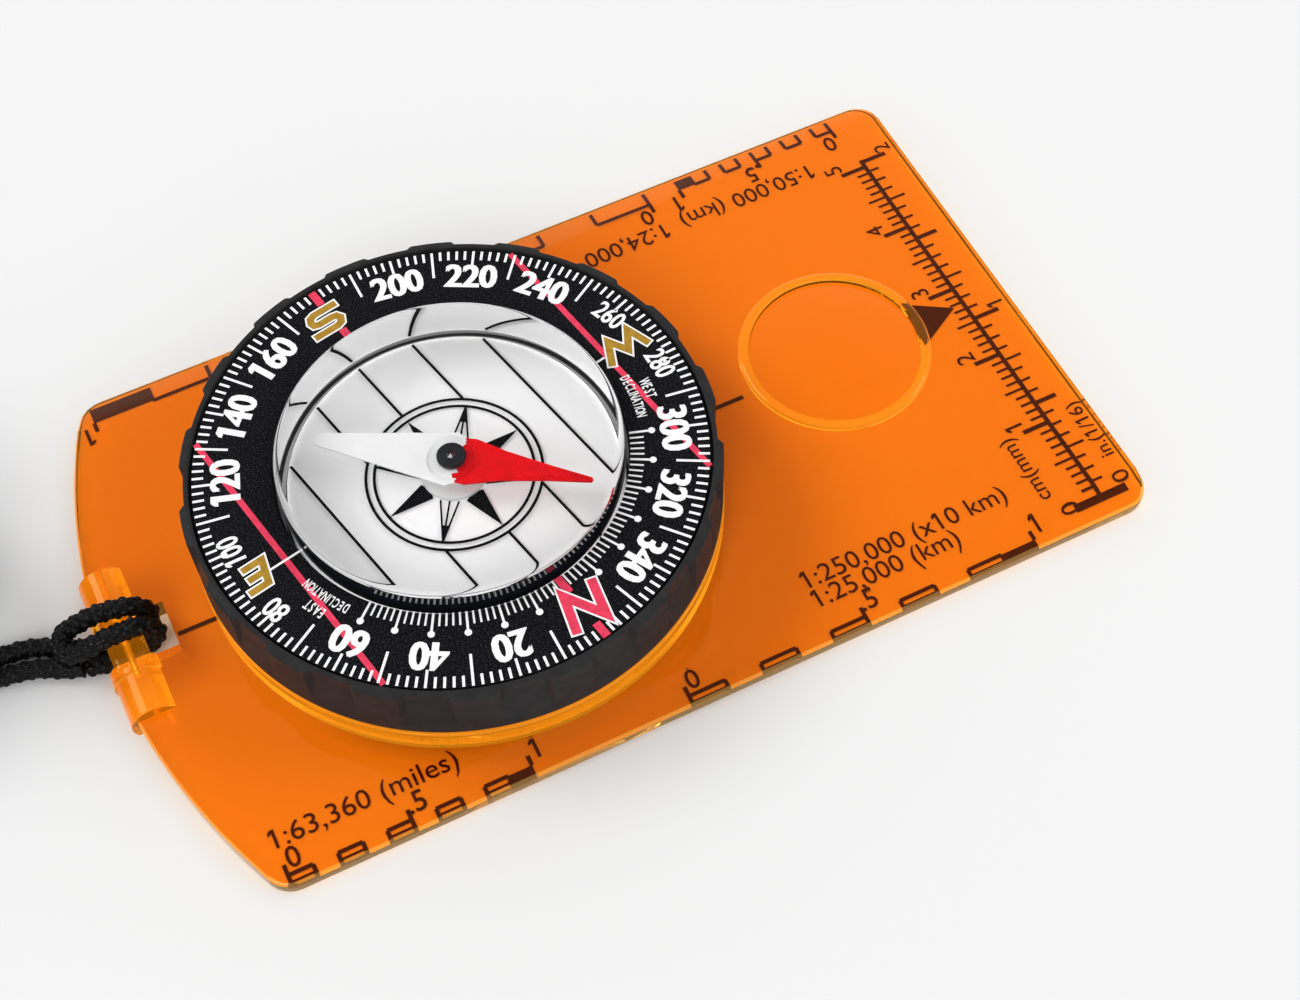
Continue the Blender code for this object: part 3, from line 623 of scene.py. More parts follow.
def plain_bars(mesh, size):
    """The top left corner of each upright bar among the letters, in order: the font's figure 1 is one."""
    letters = bmesh.new()
    letters.from_mesh(mesh)
    bmesh.ops.remove_doubles(letters, verts=letters.verts, dist=0.001 * MM)
    seen, bars = set(), []
    for start in letters.verts:
        if start in seen:
            continue
        piece, waiting = [], [start]
        while waiting:
            vertex = waiting.pop()
            if vertex not in seen:
                seen.add(vertex)
                piece.append(vertex)
                waiting += [edge.other_vert(vertex) for edge in vertex.link_edges]
        left, right = min(v.co.x for v in piece), max(v.co.x for v in piece)
        bottom, top = min(v.co.y for v in piece), max(v.co.y for v in piece)
        if len(piece) == 8 and top - bottom > 0.6 * size and right - left < 0.24 * size:
            bars.append((left, top))
    letters.free()
    return sorted(bars)


def facing(x, y, up_degrees):
    """A place in the print plane whose up direction is turned clockwise from +Y by this much."""
    return Matrix.Translation((x, y, 0.0)) @ Matrix.Rotation(math.radians(-up_degrees), 4, "Z")


def bearing(degrees, radius=0.0):
    """A place in the print plane at this radius and bearing, its up direction outward."""
    return facing(0.0, 0.0, degrees) @ Matrix.Translation((0.0, radius, 0.0))


# --- Stage ---


def add_camera():
    data = bpy.data.cameras.new("camera")
    data.lens = CAMERA_LENS
    data.sensor_width = SENSOR_WIDTH
    data.sensor_fit = "HORIZONTAL"
    data.clip_start = CLIP_START
    camera = linked("camera", data)
    back = -CAMERA_FORWARD.normalized()
    right = CAMERA_UP.cross(back).normalized()
    up = back.cross(right)
    turn = Matrix((right, up, back)).transposed().to_4x4()
    camera.matrix_world = Matrix.Translation(CAMERA_AT) @ turn
    bpy.context.scene.camera = camera


def add_lamp(name, direction, softness, power):
    """A far, soft lamp whose light comes from this direction."""
    data = bpy.data.lights.new(name, "SUN")
    data.angle = math.radians(softness)
    data.energy = power
    lamp = linked(name, data)
    lamp.rotation_euler = Vector(direction).to_track_quat("Z", "Y").to_euler()


def add_stage():
    look = Look("studio_floor", roughness=0.9, specular=0.0)
    look.mottle(3.0, 2.0, (0.3, (0.83, 0.83, 0.83)), (0.7, (0.85, 0.85, 0.85)))
    shape = bmesh.new()
    bmesh.ops.create_circle(shape, cap_ends=True, segments=64, radius=STUDIO_RADIUS)
    mesh = mesh_of("studio_floor", shape)
    floor = linked("studio_floor", mesh)
    mesh.materials.append(look.material)
    floor.location.z = -STUDIO_DROP

    world = bpy.data.worlds.new("studio")
    world.use_nodes = True
    tree = world.node_tree
    place = tree.nodes.new("ShaderNodeTexCoord")
    parts = tree.nodes.new("ShaderNodeSeparateXYZ")
    fade = tree.nodes.new("ShaderNodeMapRange")
    fade.inputs["To Min"].default_value = WORLD_AT_HORIZON
    fade.inputs["To Max"].default_value = WORLD_OVERHEAD
    tree.links.new(place.outputs["Generated"], parts.inputs["Vector"])
    tree.links.new(parts.outputs["Z"], fade.inputs["Value"])
    tree.links.new(fade.outputs["Result"], tree.nodes["Background"].inputs["Strength"])
    tree.nodes["Background"].inputs["Color"].default_value = (1.0, 1.0, 1.0, 1.0)
    scene = bpy.context.scene
    scene.world = world
    scene.view_settings.view_transform = "Standard"
    scene.cycles.use_denoising = True
    scene.cycles.max_bounces = 14
    scene.cycles.transmission_bounces = 14
    scene.cycles.transparent_max_bounces = 24
    scene.cycles.caustics_reflective = False
    for lamp in LAMPS:
        add_lamp(*lamp)


# --- Lanyard ---


def smooth_route(route):
    """Close points on a smooth curve through the route's own points."""
    ends = [Vector(point) for point in route]
    ends = [2.0 * ends[0] - ends[1]] + ends + [2.0 * ends[-1] - ends[-2]]
    fine = []
    for a, b, c, d in zip(ends, ends[1:], ends[2:], ends[3:]):
        for i in range(ROUTE_STEPS):
            t = i / ROUTE_STEPS
            fine.append(0.5 * (2.0 * b + (c - a) * t + (2.0 * a - 5.0 * b + 4.0 * c - d) * t**2
                               + (3.0 * b - a - 3.0 * c + d) * t**3))
    fine.append(ends[-2])
    return fine


def spaced(line, spacing):
    """Points at an even spacing along a line."""
    points, left = [line[0]], spacing
    for start, end in zip(line, line[1:]):
        run = (end - start).length
        while run >= left:
            start = start.lerp(end, left / run)
            points.append(start)
            run = (end - start).length
            left = spacing
        left -= run
    return points


def braid_height(around, along):
    """The height of a braid's surface, 0 to 1, with its strands over and under each other in turn."""
    a, b = around + along, around - along
    over = (math.floor(a) + math.floor(b)) % 2 == 0
    across, lengthways = (a % 1.0, b % 1.0) if over else (b % 1.0, a % 1.0)
    return math.sqrt(math.sin(math.pi * across)) * (0.3 + 0.7 * math.sin(math.pi * lengthways))


def braided(name, line, spacing, sides, closed=False):
    """A mesh tube of braided cord along a line, with texture places along and around it."""
    points = spaced(line, spacing)
    shape = bmesh.new()
    uv = shape.loops.layers.uv.new("UVMap")
    normal = None
    rings = []
    for i, point in enumerate(points):
        before = points[i - 1] if i or closed else point
        after = points[(i + 1) % len(points)] if i + 1 < len(points) or closed else point
        tangent = (after - before).normalized()
        start = normal or tangent.orthogonal()
        normal = (start - tangent * start.dot(tangent)).normalized()
        side = tangent.cross(normal)
        ring = []
        for k in range(sides):
            turn = 2.0 * math.pi * k / sides
            height = braid_height(BRAID_CARRIERS * k / sides, i * spacing / BRAID_STEP)
            reach = CORD_RADIUS * (1.0 - BRAID_RELIEF * (1.0 - height))
            ring.append(shape.verts.new(point + reach * (math.cos(turn) * normal + math.sin(turn) * side)))
        rings.append(ring)
    pairs = list(zip(rings, rings[1:])) + ([(rings[-1], rings[0])] if closed else [])
    for i, (near, far) in enumerate(pairs):
        for k, face in enumerate(bridge(shape, near, far)):
            for loop, (u, v) in zip(face.loops, ((k, i), (k + 1, i), (k + 1, i + 1), (k, i + 1))):
                loop[uv].uv = (2.0 * math.pi * u / sides, v * spacing / CORD_RADIUS / 3.0)
    if not closed:
        shape.faces.new(rings[0][::-1])
        shape.faces.new(rings[-1])
    return mesh_of(name, shape), points


def coil_point(radius, turns, height):
    """A point on the coil, turning clockwise seen from above from its +X side."""
    angle = -2.0 * math.pi * turns
    return COIL_CENTRE + Vector((radius * math.cos(angle), radius * math.sin(angle), height))


def ease(t):
    t = max(0.0, min(1.0, t))
    return t * t * (3.0 - 2.0 * t)


def coiled_route(strand, radius, turns):
    """The strand's own route, its turns in the coil, and its way over the edge and down to the knot."""
    route = [Vector(point) * MM for point in strand]
    start = coil_point(radius, 0.0, CORD_LIE)
    route += [route[-1].lerp(start, t) for t in (0.35, 0.7)]
    steps = 24
    for i in range(int(steps * turns) + 1):
        route.append(coil_point(radius, i / steps, CORD_LIE + COIL_RISE * i / steps))
    top = CORD_LIE + COIL_RISE * turns
    eye = COIL_INNER_TURN - 2.5 * CORD_RADIUS
    for i in range(1, int(steps * KNOT_TURNS) + 1):
        t = i / steps
        out = radius + (eye - radius) * ease(t / CROSS_TURNS)
        down = ease((t - CROSS_TURNS * 0.8) / (KNOT_TURNS - CROSS_TURNS * 0.8))
        reach = out + (2.3 * MM - eye) * down
        route.append(coil_point(reach, turns + t, top + (KNOT_MIDDLE - top) * down))
    return smooth_route(route)


def trefoil(scale):
    """A closed knot, drawn flat."""
    points = []
    count = 240
    for i in range(count):
        t = 2.0 * math.pi * i / count
        points.append(Vector((math.sin(t) + 2.0 * math.sin(2.0 * t), math.cos(t) - 2.0 * math.cos(2.0 * t),
                              -1.35 * math.sin(3.0 * t))) * scale)
    return points


def make_lanyard():
    fibre = cord_fibre()
    hitch_line = smooth_route([Vector(point) * MM for point in HITCH_ROUTE])
    hitch_mesh, _ = braided("lanyard_loop", hitch_line, *HITCH_DETAIL)
    hitch = placed("lanyard_loop", hitch_mesh, fibre, "base", sharp=80.0)
    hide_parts("lanyard_hitch")

    knot_mesh, _ = braided("end_knot", trefoil(0.62 * MM), *KNOT_DETAIL, closed=True)
    knot_mesh.transform(Matrix.Translation(COIL_CENTRE + Vector((0.0, 0.0, KNOT_MIDDLE))))
    knot = placed("end_knot", knot_mesh, fibre, "base", sharp=80.0)
    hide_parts("lanyard_knot")

    tie = make_tie()
    routes = (
        ("lanyard_cord_a", STRAND_A_ROUTE, COIL_INNER_TURN, INNER_TURNS,
         ("lanyard_strand_a", "lanyard_coil")),
        ("lanyard_cord_b", STRAND_B_ROUTE, COIL_OUTER_TURN, OUTER_TURNS, ("lanyard_strand_b",)),
    )
    for name, strand, radius, turns, nodes in routes:
        line = coiled_route(strand, radius, turns)
        mesh, path = braided(name, line, *STRAND_DETAIL)
        cord = placed(name, mesh, fibre, "base", sharp=80.0)
        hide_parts(*nodes)


def make_tie():
    """A band of tape round the coil's section."""
    low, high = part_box("coil_tie")
    centre = (low + high) / 2.0
    outward = Vector((centre.x - COIL_CENTRE.x, centre.y - COIL_CENTRE.y, 0.0)).normalized()
    along = Vector((-outward.y, outward.x, 0.0))
    middle = (COIL_INNER_TURN + COIL_OUTER_TURN) / 2.0
    half_across = (COIL_OUTER_TURN - COIL_INNER_TURN) / 2.0 + CORD_RADIUS + 0.75 * MM
    half_up = (high.z - low.z) / 2.0 - 0.1 * MM
    corner = 1.9 * MM
    centres = ((half_across - corner, half_up - corner), (corner - half_across, half_up - corner),
               (corner - half_across, corner - half_up), (half_across - corner, corner - half_up))
    outline = []
    for i, place in enumerate(centres):
        outline += arc(place, corner, 90.0 * i, 90.0 * (i + 1), 8)
    thick, width, edge = 0.5 * MM, 2.9 * MM, 0.15 * MM
    half = width / 2.0
    section = [(-half, 0.0), (-half + edge, edge), (half - edge, edge), (half, 0.0), (half, -thick + edge),
               (half - edge, -thick), (-half + edge, -thick), (-half, -thick + edge)]
    shape = bmesh.new()
    rows = []
    for x, z in outline:
        away = Vector((x, z)).normalized()
        row = []
        for s, t in section:
            place = COIL_CENTRE + outward * (middle + x + away.x * t) + along * s
            row.append(shape.verts.new(place + Vector((0.0, 0.0, centre.z + z + away.y * t))))
        rows.append(row)
    for row, after in zip(rows, rows[1:] + rows[:1]):
        bridge(shape, row, after)
    tie = placed("coil_band", mesh_of("coil_band", shape), tape_fibre(), "base")
    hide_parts("coil_tie")
    return tie


# --- Plate ---


def plate_outline():
    """Straight sides, four round corners, and a rear edge that bows outward."""
    front = PLATE_FRONT_Y - FRONT_CORNER_RADIUS
    side = PLATE_HALF_WIDTH - FRONT_CORNER_RADIUS
    slope_x = PLATE_HALF_WIDTH - BEVEL_WIDTH
    points = arc((side, front), FRONT_CORNER_RADIUS, 0.0, 90.0, 12)
    points += [(slope_x, PLATE_FRONT_Y), (-slope_x, PLATE_FRONT_Y)]
    points += arc((-side, front), FRONT_CORNER_RADIUS, 90.0, 180.0, 12)
    arc_centre_y = PLATE_REAR_TIP_Y + REAR_ARC_RADIUS
    corner_x = PLATE_HALF_WIDTH - REAR_CORNER_RADIUS
    reach = REAR_ARC_RADIUS - REAR_CORNER_RADIUS
    corner_y = arc_centre_y - math.sqrt(reach**2 - corner_x**2)
    lean = math.degrees(math.asin(corner_x / reach))
    points += arc((-corner_x, corner_y), REAR_CORNER_RADIUS, 180.0, 270.0 - lean, 10)
    sweep = [-slope_x + 2.0 * slope_x * i / 48 for i in range(49)]
    for x in sweep:
        points.append((x, arc_centre_y - math.sqrt(REAR_ARC_RADIUS**2 - x**2)))
    points += arc((corner_x, corner_y), REAR_CORNER_RADIUS, 270.0 + lean, 360.0, 10)
    return points


def plate_top(x):
    """The plate's height at this X: flat, then sloping down along both long edges."""
    run = abs(x) - (PLATE_HALF_WIDTH - BEVEL_WIDTH)
    return PLATE_THICK - BEVEL_DROP * max(0.0, run) / BEVEL_WIDTH


def inset_points(points, depth):
    """The outline moved inward by a depth along its own normals."""
    moved = []
    count = len(points)
    for i, point in enumerate(points):
        before, after = Vector(points[i - 1]), Vector(points[(i + 1) % count])
        here = Vector(point)
        back = (here - before).normalized()
        ahead = (after - here).normalized()
        normal = Vector((-(back + ahead).y, (back + ahead).x)).normalized()
        stretch = max(0.5, normal.dot(Vector((-back.y, back.x))))
        moved.append(here + normal * depth / stretch)
    return moved


def plate_blank():
    """The plate with round edges and sloping long sides, before anything is joined to it."""
    outline = plate_outline()
    shape = bmesh.new()
    segments = 4
    radius = PLATE_EDGE_RADIUS
    turns = [math.pi / 2.0 * k / segments for k in range(segments + 1)]
    bends = [(radius * (1.0 - math.sin(t)), radius * (1.0 - math.cos(t))) for t in turns]
    levels = [(a, b, False) for a, b in bends] + [(b, a, True) for a, b in bends]
    rows = []
    for inset, height, upper in levels:
        row = []
        for x, y in inset_points(outline, inset):
            row.append(shape.verts.new((x, y, plate_top(x) - height if upper else height)))
        rows.append(row)
    for low, high in zip(rows, rows[1:]):
        bridge(shape, low, high)
    shape.faces.new(rows[0][::-1])
    limit = PLATE_HALF_WIDTH - BEVEL_WIDTH + 0.01 * MM
    inner = PLATE_HALF_WIDTH - BEVEL_WIDTH - 0.01 * MM
    top = rows[-1]
    shape.faces.new([v for v, (x, _) in zip(top, outline) if abs(x) < limit])
    left = [v for v, (x, _) in zip(top, outline) if x < -inner]
    shape.faces.new(left)
    right = [v for v, (x, _) in zip(top, outline) if x > inner]
    shape.faces.new(right)
    return mesh_of("plate_blank", shape)


def box_mesh(low, high):
    shape = bmesh.new()
    bmesh.ops.create_cube(shape, size=1.0)
    centre = [(a + b) / 2.0 for a, b in zip(low, high)]
    size = [b - a for a, b in zip(low, high)]
    place = Matrix.Translation(centre) @ Matrix.Diagonal((*size, 1.0))
    bmesh.ops.transform(shape, matrix=place, verts=shape.verts)
    return mesh_of("box", shape)


def turned_mesh(profile, place, steps):
    mesh = mesh_of("turned", turned_shape(profile, steps))
    mesh.transform(place)
    return mesh


def barrel_mesh(side):
    """One lanyard barrel with its collar, beside the slot."""
    slot_end = SLOT_X + side * (SLOT_HALF_WIDTH - 0.05 * MM)
    length = abs(BARREL_X + side * BARREL_HALF_LENGTH - slot_end)
    profile = [(0.0, length), (BARREL_RADIUS, length), (BARREL_RADIUS, COLLAR_LENGTH),
               (COLLAR_RADIUS, COLLAR_LENGTH), (COLLAR_RADIUS, 0.0), (0.0, 0.0)]
    along_x = Matrix.Rotation(side * math.radians(90.0), 4, "Y")
    place = Matrix.Translation((slot_end, BARREL_Y, BARREL_Z)) @ along_x
    return turned_mesh(rounded(profile, 0.15 * MM, 3), place, BARREL_STEPS)


def bar_mesh():
    """The bar across the slot, round at its long sides."""
    half_height = (BAR_TOP - BAR_BOTTOM) / 2.0
    straight = BAR_HALF_DEPTH - half_height
    loop = arc((straight, 0.0), half_height, -90.0, 90.0, 12)
    loop += arc((-straight, 0.0), half_height, 90.0, 270.0, 12)
    half_length = SLOT_HALF_WIDTH + COLLAR_LENGTH / 2.0
    middle = (BAR_TOP + BAR_BOTTOM) / 2.0
    shape = bmesh.new()
    ends = []
    for x in (SLOT_X - half_length, SLOT_X + half_length):
        ends.append([shape.verts.new((x, BARREL_Y + y, middle + z)) for y, z in loop])
    shape.faces.new(ends[0])
    shape.faces.new(ends[1][::-1])
    bridge(shape, *ends)
    return mesh_of("bar", shape)


def part_of_plate(centre, normal):
    """Which of the plate's looks a face has: 0 the body, 1 the outer edge, 2 a rim or barrel, 3 the seat;
    looks 1 to 3 carry a painted glow.
    """
    from_lens = Vector((centre.x, centre.y - MAGNIFIER_Y)).length
    from_dial = Vector((centre.x, centre.y - DIAL_Y)).length
    beside_slot = abs(centre.x - BARREL_X) < BARREL_HALF_LENGTH + 0.1 * MM
    near_slot = beside_slot and centre.y < SLOT_INNER_Y + 0.1 * MM
    above = centre.z > PLATE_THICK + 0.02 * MM
    if above and SEAT_RADIUS - 0.5 * MM < from_dial < SEAT_RADIUS + 0.05 * MM:
        return 3
    if above and MAGNIFIER_LENS_RADIUS < from_lens < MAGNIFIER_RADIUS + 0.01 * MM:
        return 2
    if near_slot and (above or normal.z < 0.9) and centre.z > 0.02 * MM:
        return 2
    if -0.5 < normal.z < 0.94 and from_dial > SEAT_RADIUS + 0.5 * MM and not above:
        return 1
    return 0


def make_plate():
    dial = Matrix.Translation((0.0, DIAL_Y, 0.0))
    foot = PLATE_THICK - 0.4 * MM
    seat = [(0.0, SEAT_TOP), (SEAT_RADIUS, SEAT_TOP), (SEAT_RADIUS, foot), (0.0, foot)]
    lens = []
    for i in range(13):
        radius = MAGNIFIER_LENS_RADIUS * i / 12.0
        lens.append((radius, PLATE_THICK + 1.15 * MM - 1.1 * MM * (i / 12.0) ** 2))
    rim_top = PLATE_THICK + 0.55 * MM
    inner, outer = MAGNIFIER_LENS_RADIUS, MAGNIFIER_RADIUS
    rim = [(inner + 0.05 * MM, rim_top - 0.2 * MM), (inner + 0.2 * MM, rim_top),
           (outer - 0.35 * MM, rim_top), (outer - 0.15 * MM, rim_top - 0.1 * MM),
           (outer, rim_top - 0.3 * MM), (outer, foot), (0.0, foot)]
    hole = [(0.0, SEAT_TOP + MM), (HOLE_RADIUS, SEAT_TOP + MM), (HOLE_RADIUS, COUNTERBORE_TOP),
            (COUNTERBORE_RADIUS, COUNTERBORE_TOP), (COUNTERBORE_RADIUS, -MM), (0.0, -MM)]
    half_step = Matrix.Rotation(math.pi / FINE_STEPS, 4, "Z")
    bore_start = BARREL_X - BARREL_HALF_LENGTH - 2.0 * MM
    bore_length = SLOT_X + PIN_HALF_LENGTH + 0.3 * MM - bore_start
    bore = [(0.0, bore_length), (PIN_BORE_RADIUS, bore_length), (PIN_BORE_RADIUS, 0.0), (0.0, 0.0)]
    along_x = Matrix.Rotation(math.radians(90.0), 4, "Y")
    bore_place = Matrix.Translation((bore_start, BARREL_Y, PIN_Z)) @ along_x
    mesh = combine(plate_blank(), [
        ("UNION", turned_mesh(rounded(seat, 0.35 * MM), dial, FINE_STEPS)),
        ("UNION", turned_mesh(lens + rim, Matrix.Translation((0.0, MAGNIFIER_Y, 0.0)), LENS_STEPS)),
        ("DIFFERENCE", turned_mesh(hole, dial @ half_step, FINE_STEPS)),
        ("DIFFERENCE", box_mesh((SLOT_X - SLOT_HALF_WIDTH, PLATE_REAR_TIP_Y - MM, -MM),
                                (SLOT_X + SLOT_HALF_WIDTH, SLOT_INNER_Y, PLATE_THICK + MM))),
        ("UNION", barrel_mesh(1.0)),
        ("UNION", barrel_mesh(-1.0)),
        ("UNION", bar_mesh()),
        ("DIFFERENCE", turned_mesh(bore, bore_place, BORE_STEPS)),
        ("DIFFERENCE", box_mesh((-12.0 * MM, -55.0 * MM, -5.0 * MM), (12.0 * MM, -45.0 * MM, 0.0))),
    ])
    mesh.name = "plate"
    # The edge, rim and seat looks carry painted glow; the seat's is strongest, to lift the shade under the
    # bezel.
    looks = [orange_acrylic(), orange_edge(), orange_rim(), orange_rim("orange_seat_painted_glow", 0.38)]
    plate = placed("plate", mesh, looks, "base", sharp=25.0)
    for face in plate.data.polygons:
        face.material_index = part_of_plate(face.center, face.normal)
    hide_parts("baseplate")


def scale_bar(ink, edge, zero, step, label_x):
    """A map scale along a long edge: open brackets, a solid block at its end, and three ticks with labels.

    Edge is the X of its inner line, zero the Y of its start, and step the length of a tenth. It runs toward +Y
    on the right side and toward -Y on the left one."""
    outer = math.copysign(PLATE_HALF_WIDTH - 0.45 * MM, edge)
    direction = math.copysign(1.0, edge)
    thin = 0.42 * MM
    for i in (0, 2, 4, 6, 8):
        near, far = zero + direction * step * i, zero + direction * step * (i + 1)
        ink.line((edge, near), (edge, far), thin)
        if edge > 0.0:
            ink.line((edge + 0.75 * MM, near), (edge + 0.75 * MM, far), 0.24 * MM)
        for y in (near, far):
            ink.line((outer, y), (edge, y), thin)
    last, end = zero + direction * step * 9, zero + direction * step * 10
    ink.polygon([(outer, last), (edge, last), (edge, end), (outer, end)])
    for i, text in ((0, "0"), (5, ".5"), (10, "1")):
        y = zero + direction * step * i
        ink.line((edge, y), (edge - direction * 1.1 * MM, y), thin)
        ink.words(text, facing(label_x, y + direction * 1.1 * MM, -90.0 * direction), 3.0 * MM, 0.02 * MM)


def make_plate_ink():
    ink = Print(INK_LOW, INK_HIGH)
    # The ruler, read from its right end: millimetres on the inner side, sixteenths of an inch on the outer.
    ink.line((RULER_ZERO_X, SPINE_Y), (RULER_ZERO_X - 2.0 * INCH - 0.3 * MM, SPINE_Y), 0.5 * MM)
    stop_x = RULER_ZERO_X + 0.3 * MM
    ink.line((stop_x, SPINE_Y - 3.2 * MM), (stop_x, SPINE_Y + 3.1 * MM), 0.95 * MM)
    for i in range(1, 51):
        length = 3.1 if i % 10 == 0 else 2.3 if i % 5 == 0 else 1.55
        x = RULER_ZERO_X - i * MM
        ink.line((x, SPINE_Y), (x, SPINE_Y - length * MM), (0.5 if i % 10 == 0 else 0.28) * MM)
    for i in range(1, 33):
        length = 3.1 if i % 16 == 0 else 2.6 if i % 8 == 0 else 2.1 if i % 4 == 0 else 1.35
        x = RULER_ZERO_X - i * INCH / 16.0
        ink.line((x, SPINE_Y), (x, SPINE_Y + length * MM), (0.5 if i % 8 == 0 else 0.28) * MM)
    for i in range(6):
        x = RULER_ZERO_X - i * 10.0 * MM - 1.1 * MM * min(1, i)
        ink.words(str(i), facing(x, 44.2 * MM, 180.0), 2.9 * MM)
    for i in range(3):
        ink.words(str(i), facing(RULER_ZERO_X - i * INCH - 0.9 * MM, 51.0 * MM, 180.0), 2.7 * MM)
    ink.words("cm(mm)", facing(21.7 * MM, 42.4 * MM, 180.0), 2.5 * MM)
    ink.words("in.(1/16)", facing(20.4 * MM, 51.2 * MM, 180.0), 2.3 * MM)

    for edge, zero, step, label_x in MAP_SCALES:
        scale_bar(ink, edge * MM, zero * MM, step * MM, label_x * MM)
    for text, x, y in MAP_SCALE_NAMES:
        place = facing(x * MM, y * MM, -math.copysign(90.0, x))
        ink.words(text, place, 3.0 * MM, 0.0, 1.03, align="LEFT")

    # The arrow of travel and the two index lines.
    ink.polygon([(0.0, 46.5 * MM), (-3.1 * MM, 41.5 * MM), (3.1 * MM, 41.0 * MM)])
    ink.line((0.0, -44.5 * MM), (0.0, -34.0 * MM), 0.5 * MM)
    ink.line((0.0, 12.0 * MM), (0.0, 20.1 * MM), 0.5 * MM)
    ink.finish("plate_print", printed("print_maroon", (0.050, 0.003, 0.011), 0.2), "base")


# --- Bezel ---


def lobe_rise(angle, radius, height):
    """How far the grip's outline stands out at this angle, on the bezel's outer wall."""
    if radius < BEZEL_RADIUS - 0.3 * MM:
        return 0.0
    pitch = 360.0 / LOBE_COUNT
    turn = (math.degrees(angle) % pitch) - pitch / 2.0
    side = (LOBE_DEGREES / 2.0 + LOBE_RAMP_DEGREES - abs(turn)) / LOBE_RAMP_DEGREES
    lip = (BEZEL_TOP - 0.03 * MM - height) / (0.2 * MM)
    foot = (BEZEL_TOP - 1.5 * MM - height) / (BEZEL_TOP - BEZEL_BOTTOM - 2.2 * MM)
    return (LOBE_RADIUS - BEZEL_RADIUS) * max(ease(side) * ease(lip), max(0.0, min(1.0, foot)))


def make_bezel(dial):
    wall = 1.25 * MM
    seat_top = DIAL_TOP - DIAL_THICK - 0.3 * MM
    deck_under = seat_top - 1.1 * MM
    skirt = HOLE_RADIUS - 0.3 * MM
    rim_inner = DIAL_OUTER + 0.25 * MM
    bore = CAPSULE_RADIUS + 0.35 * MM
    ledge_top = CAPSULE_BOTTOM - 0.3 * MM
    outer = [(BEZEL_RADIUS, BEZEL_TOP - down * MM) for down in (0.35, 0.5, 1.5, 2.5, 3.5, 4.5, 5.5, 6.3)]
    profile = [(rim_inner, BEZEL_TOP), (BEZEL_RADIUS, BEZEL_TOP)] + outer + [
        (BEZEL_RADIUS, BEZEL_BOTTOM),
        (BEZEL_RADIUS - wall, BEZEL_BOTTOM),
        (BEZEL_RADIUS - wall, deck_under),
        (skirt + wall, deck_under),
        (skirt + wall, BEZEL_BOTTOM),
        (skirt, BEZEL_BOTTOM),
        (skirt, 1.6 * MM),
        (skirt - 0.7 * MM, 1.6 * MM),
        (skirt - 0.7 * MM, 0.45 * MM),
        (skirt, 0.45 * MM),
        (skirt, 0.15 * MM),
        (skirt - 1.8 * MM, 0.15 * MM),
        (skirt - 1.8 * MM, ledge_top - 0.9 * MM),
        (bore - 1.4 * MM, ledge_top - 0.9 * MM),
        (bore - 1.4 * MM, ledge_top),
        (bore, ledge_top),
        (bore, seat_top),
        (rim_inner, seat_top),
    ]
    ring = turned("bezel", rounded(profile, 0.16 * MM, 3), black_plastic(), "bezel", dial,
                  BEZEL_STEPS, lobe_rise)
    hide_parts("bezel_ring")


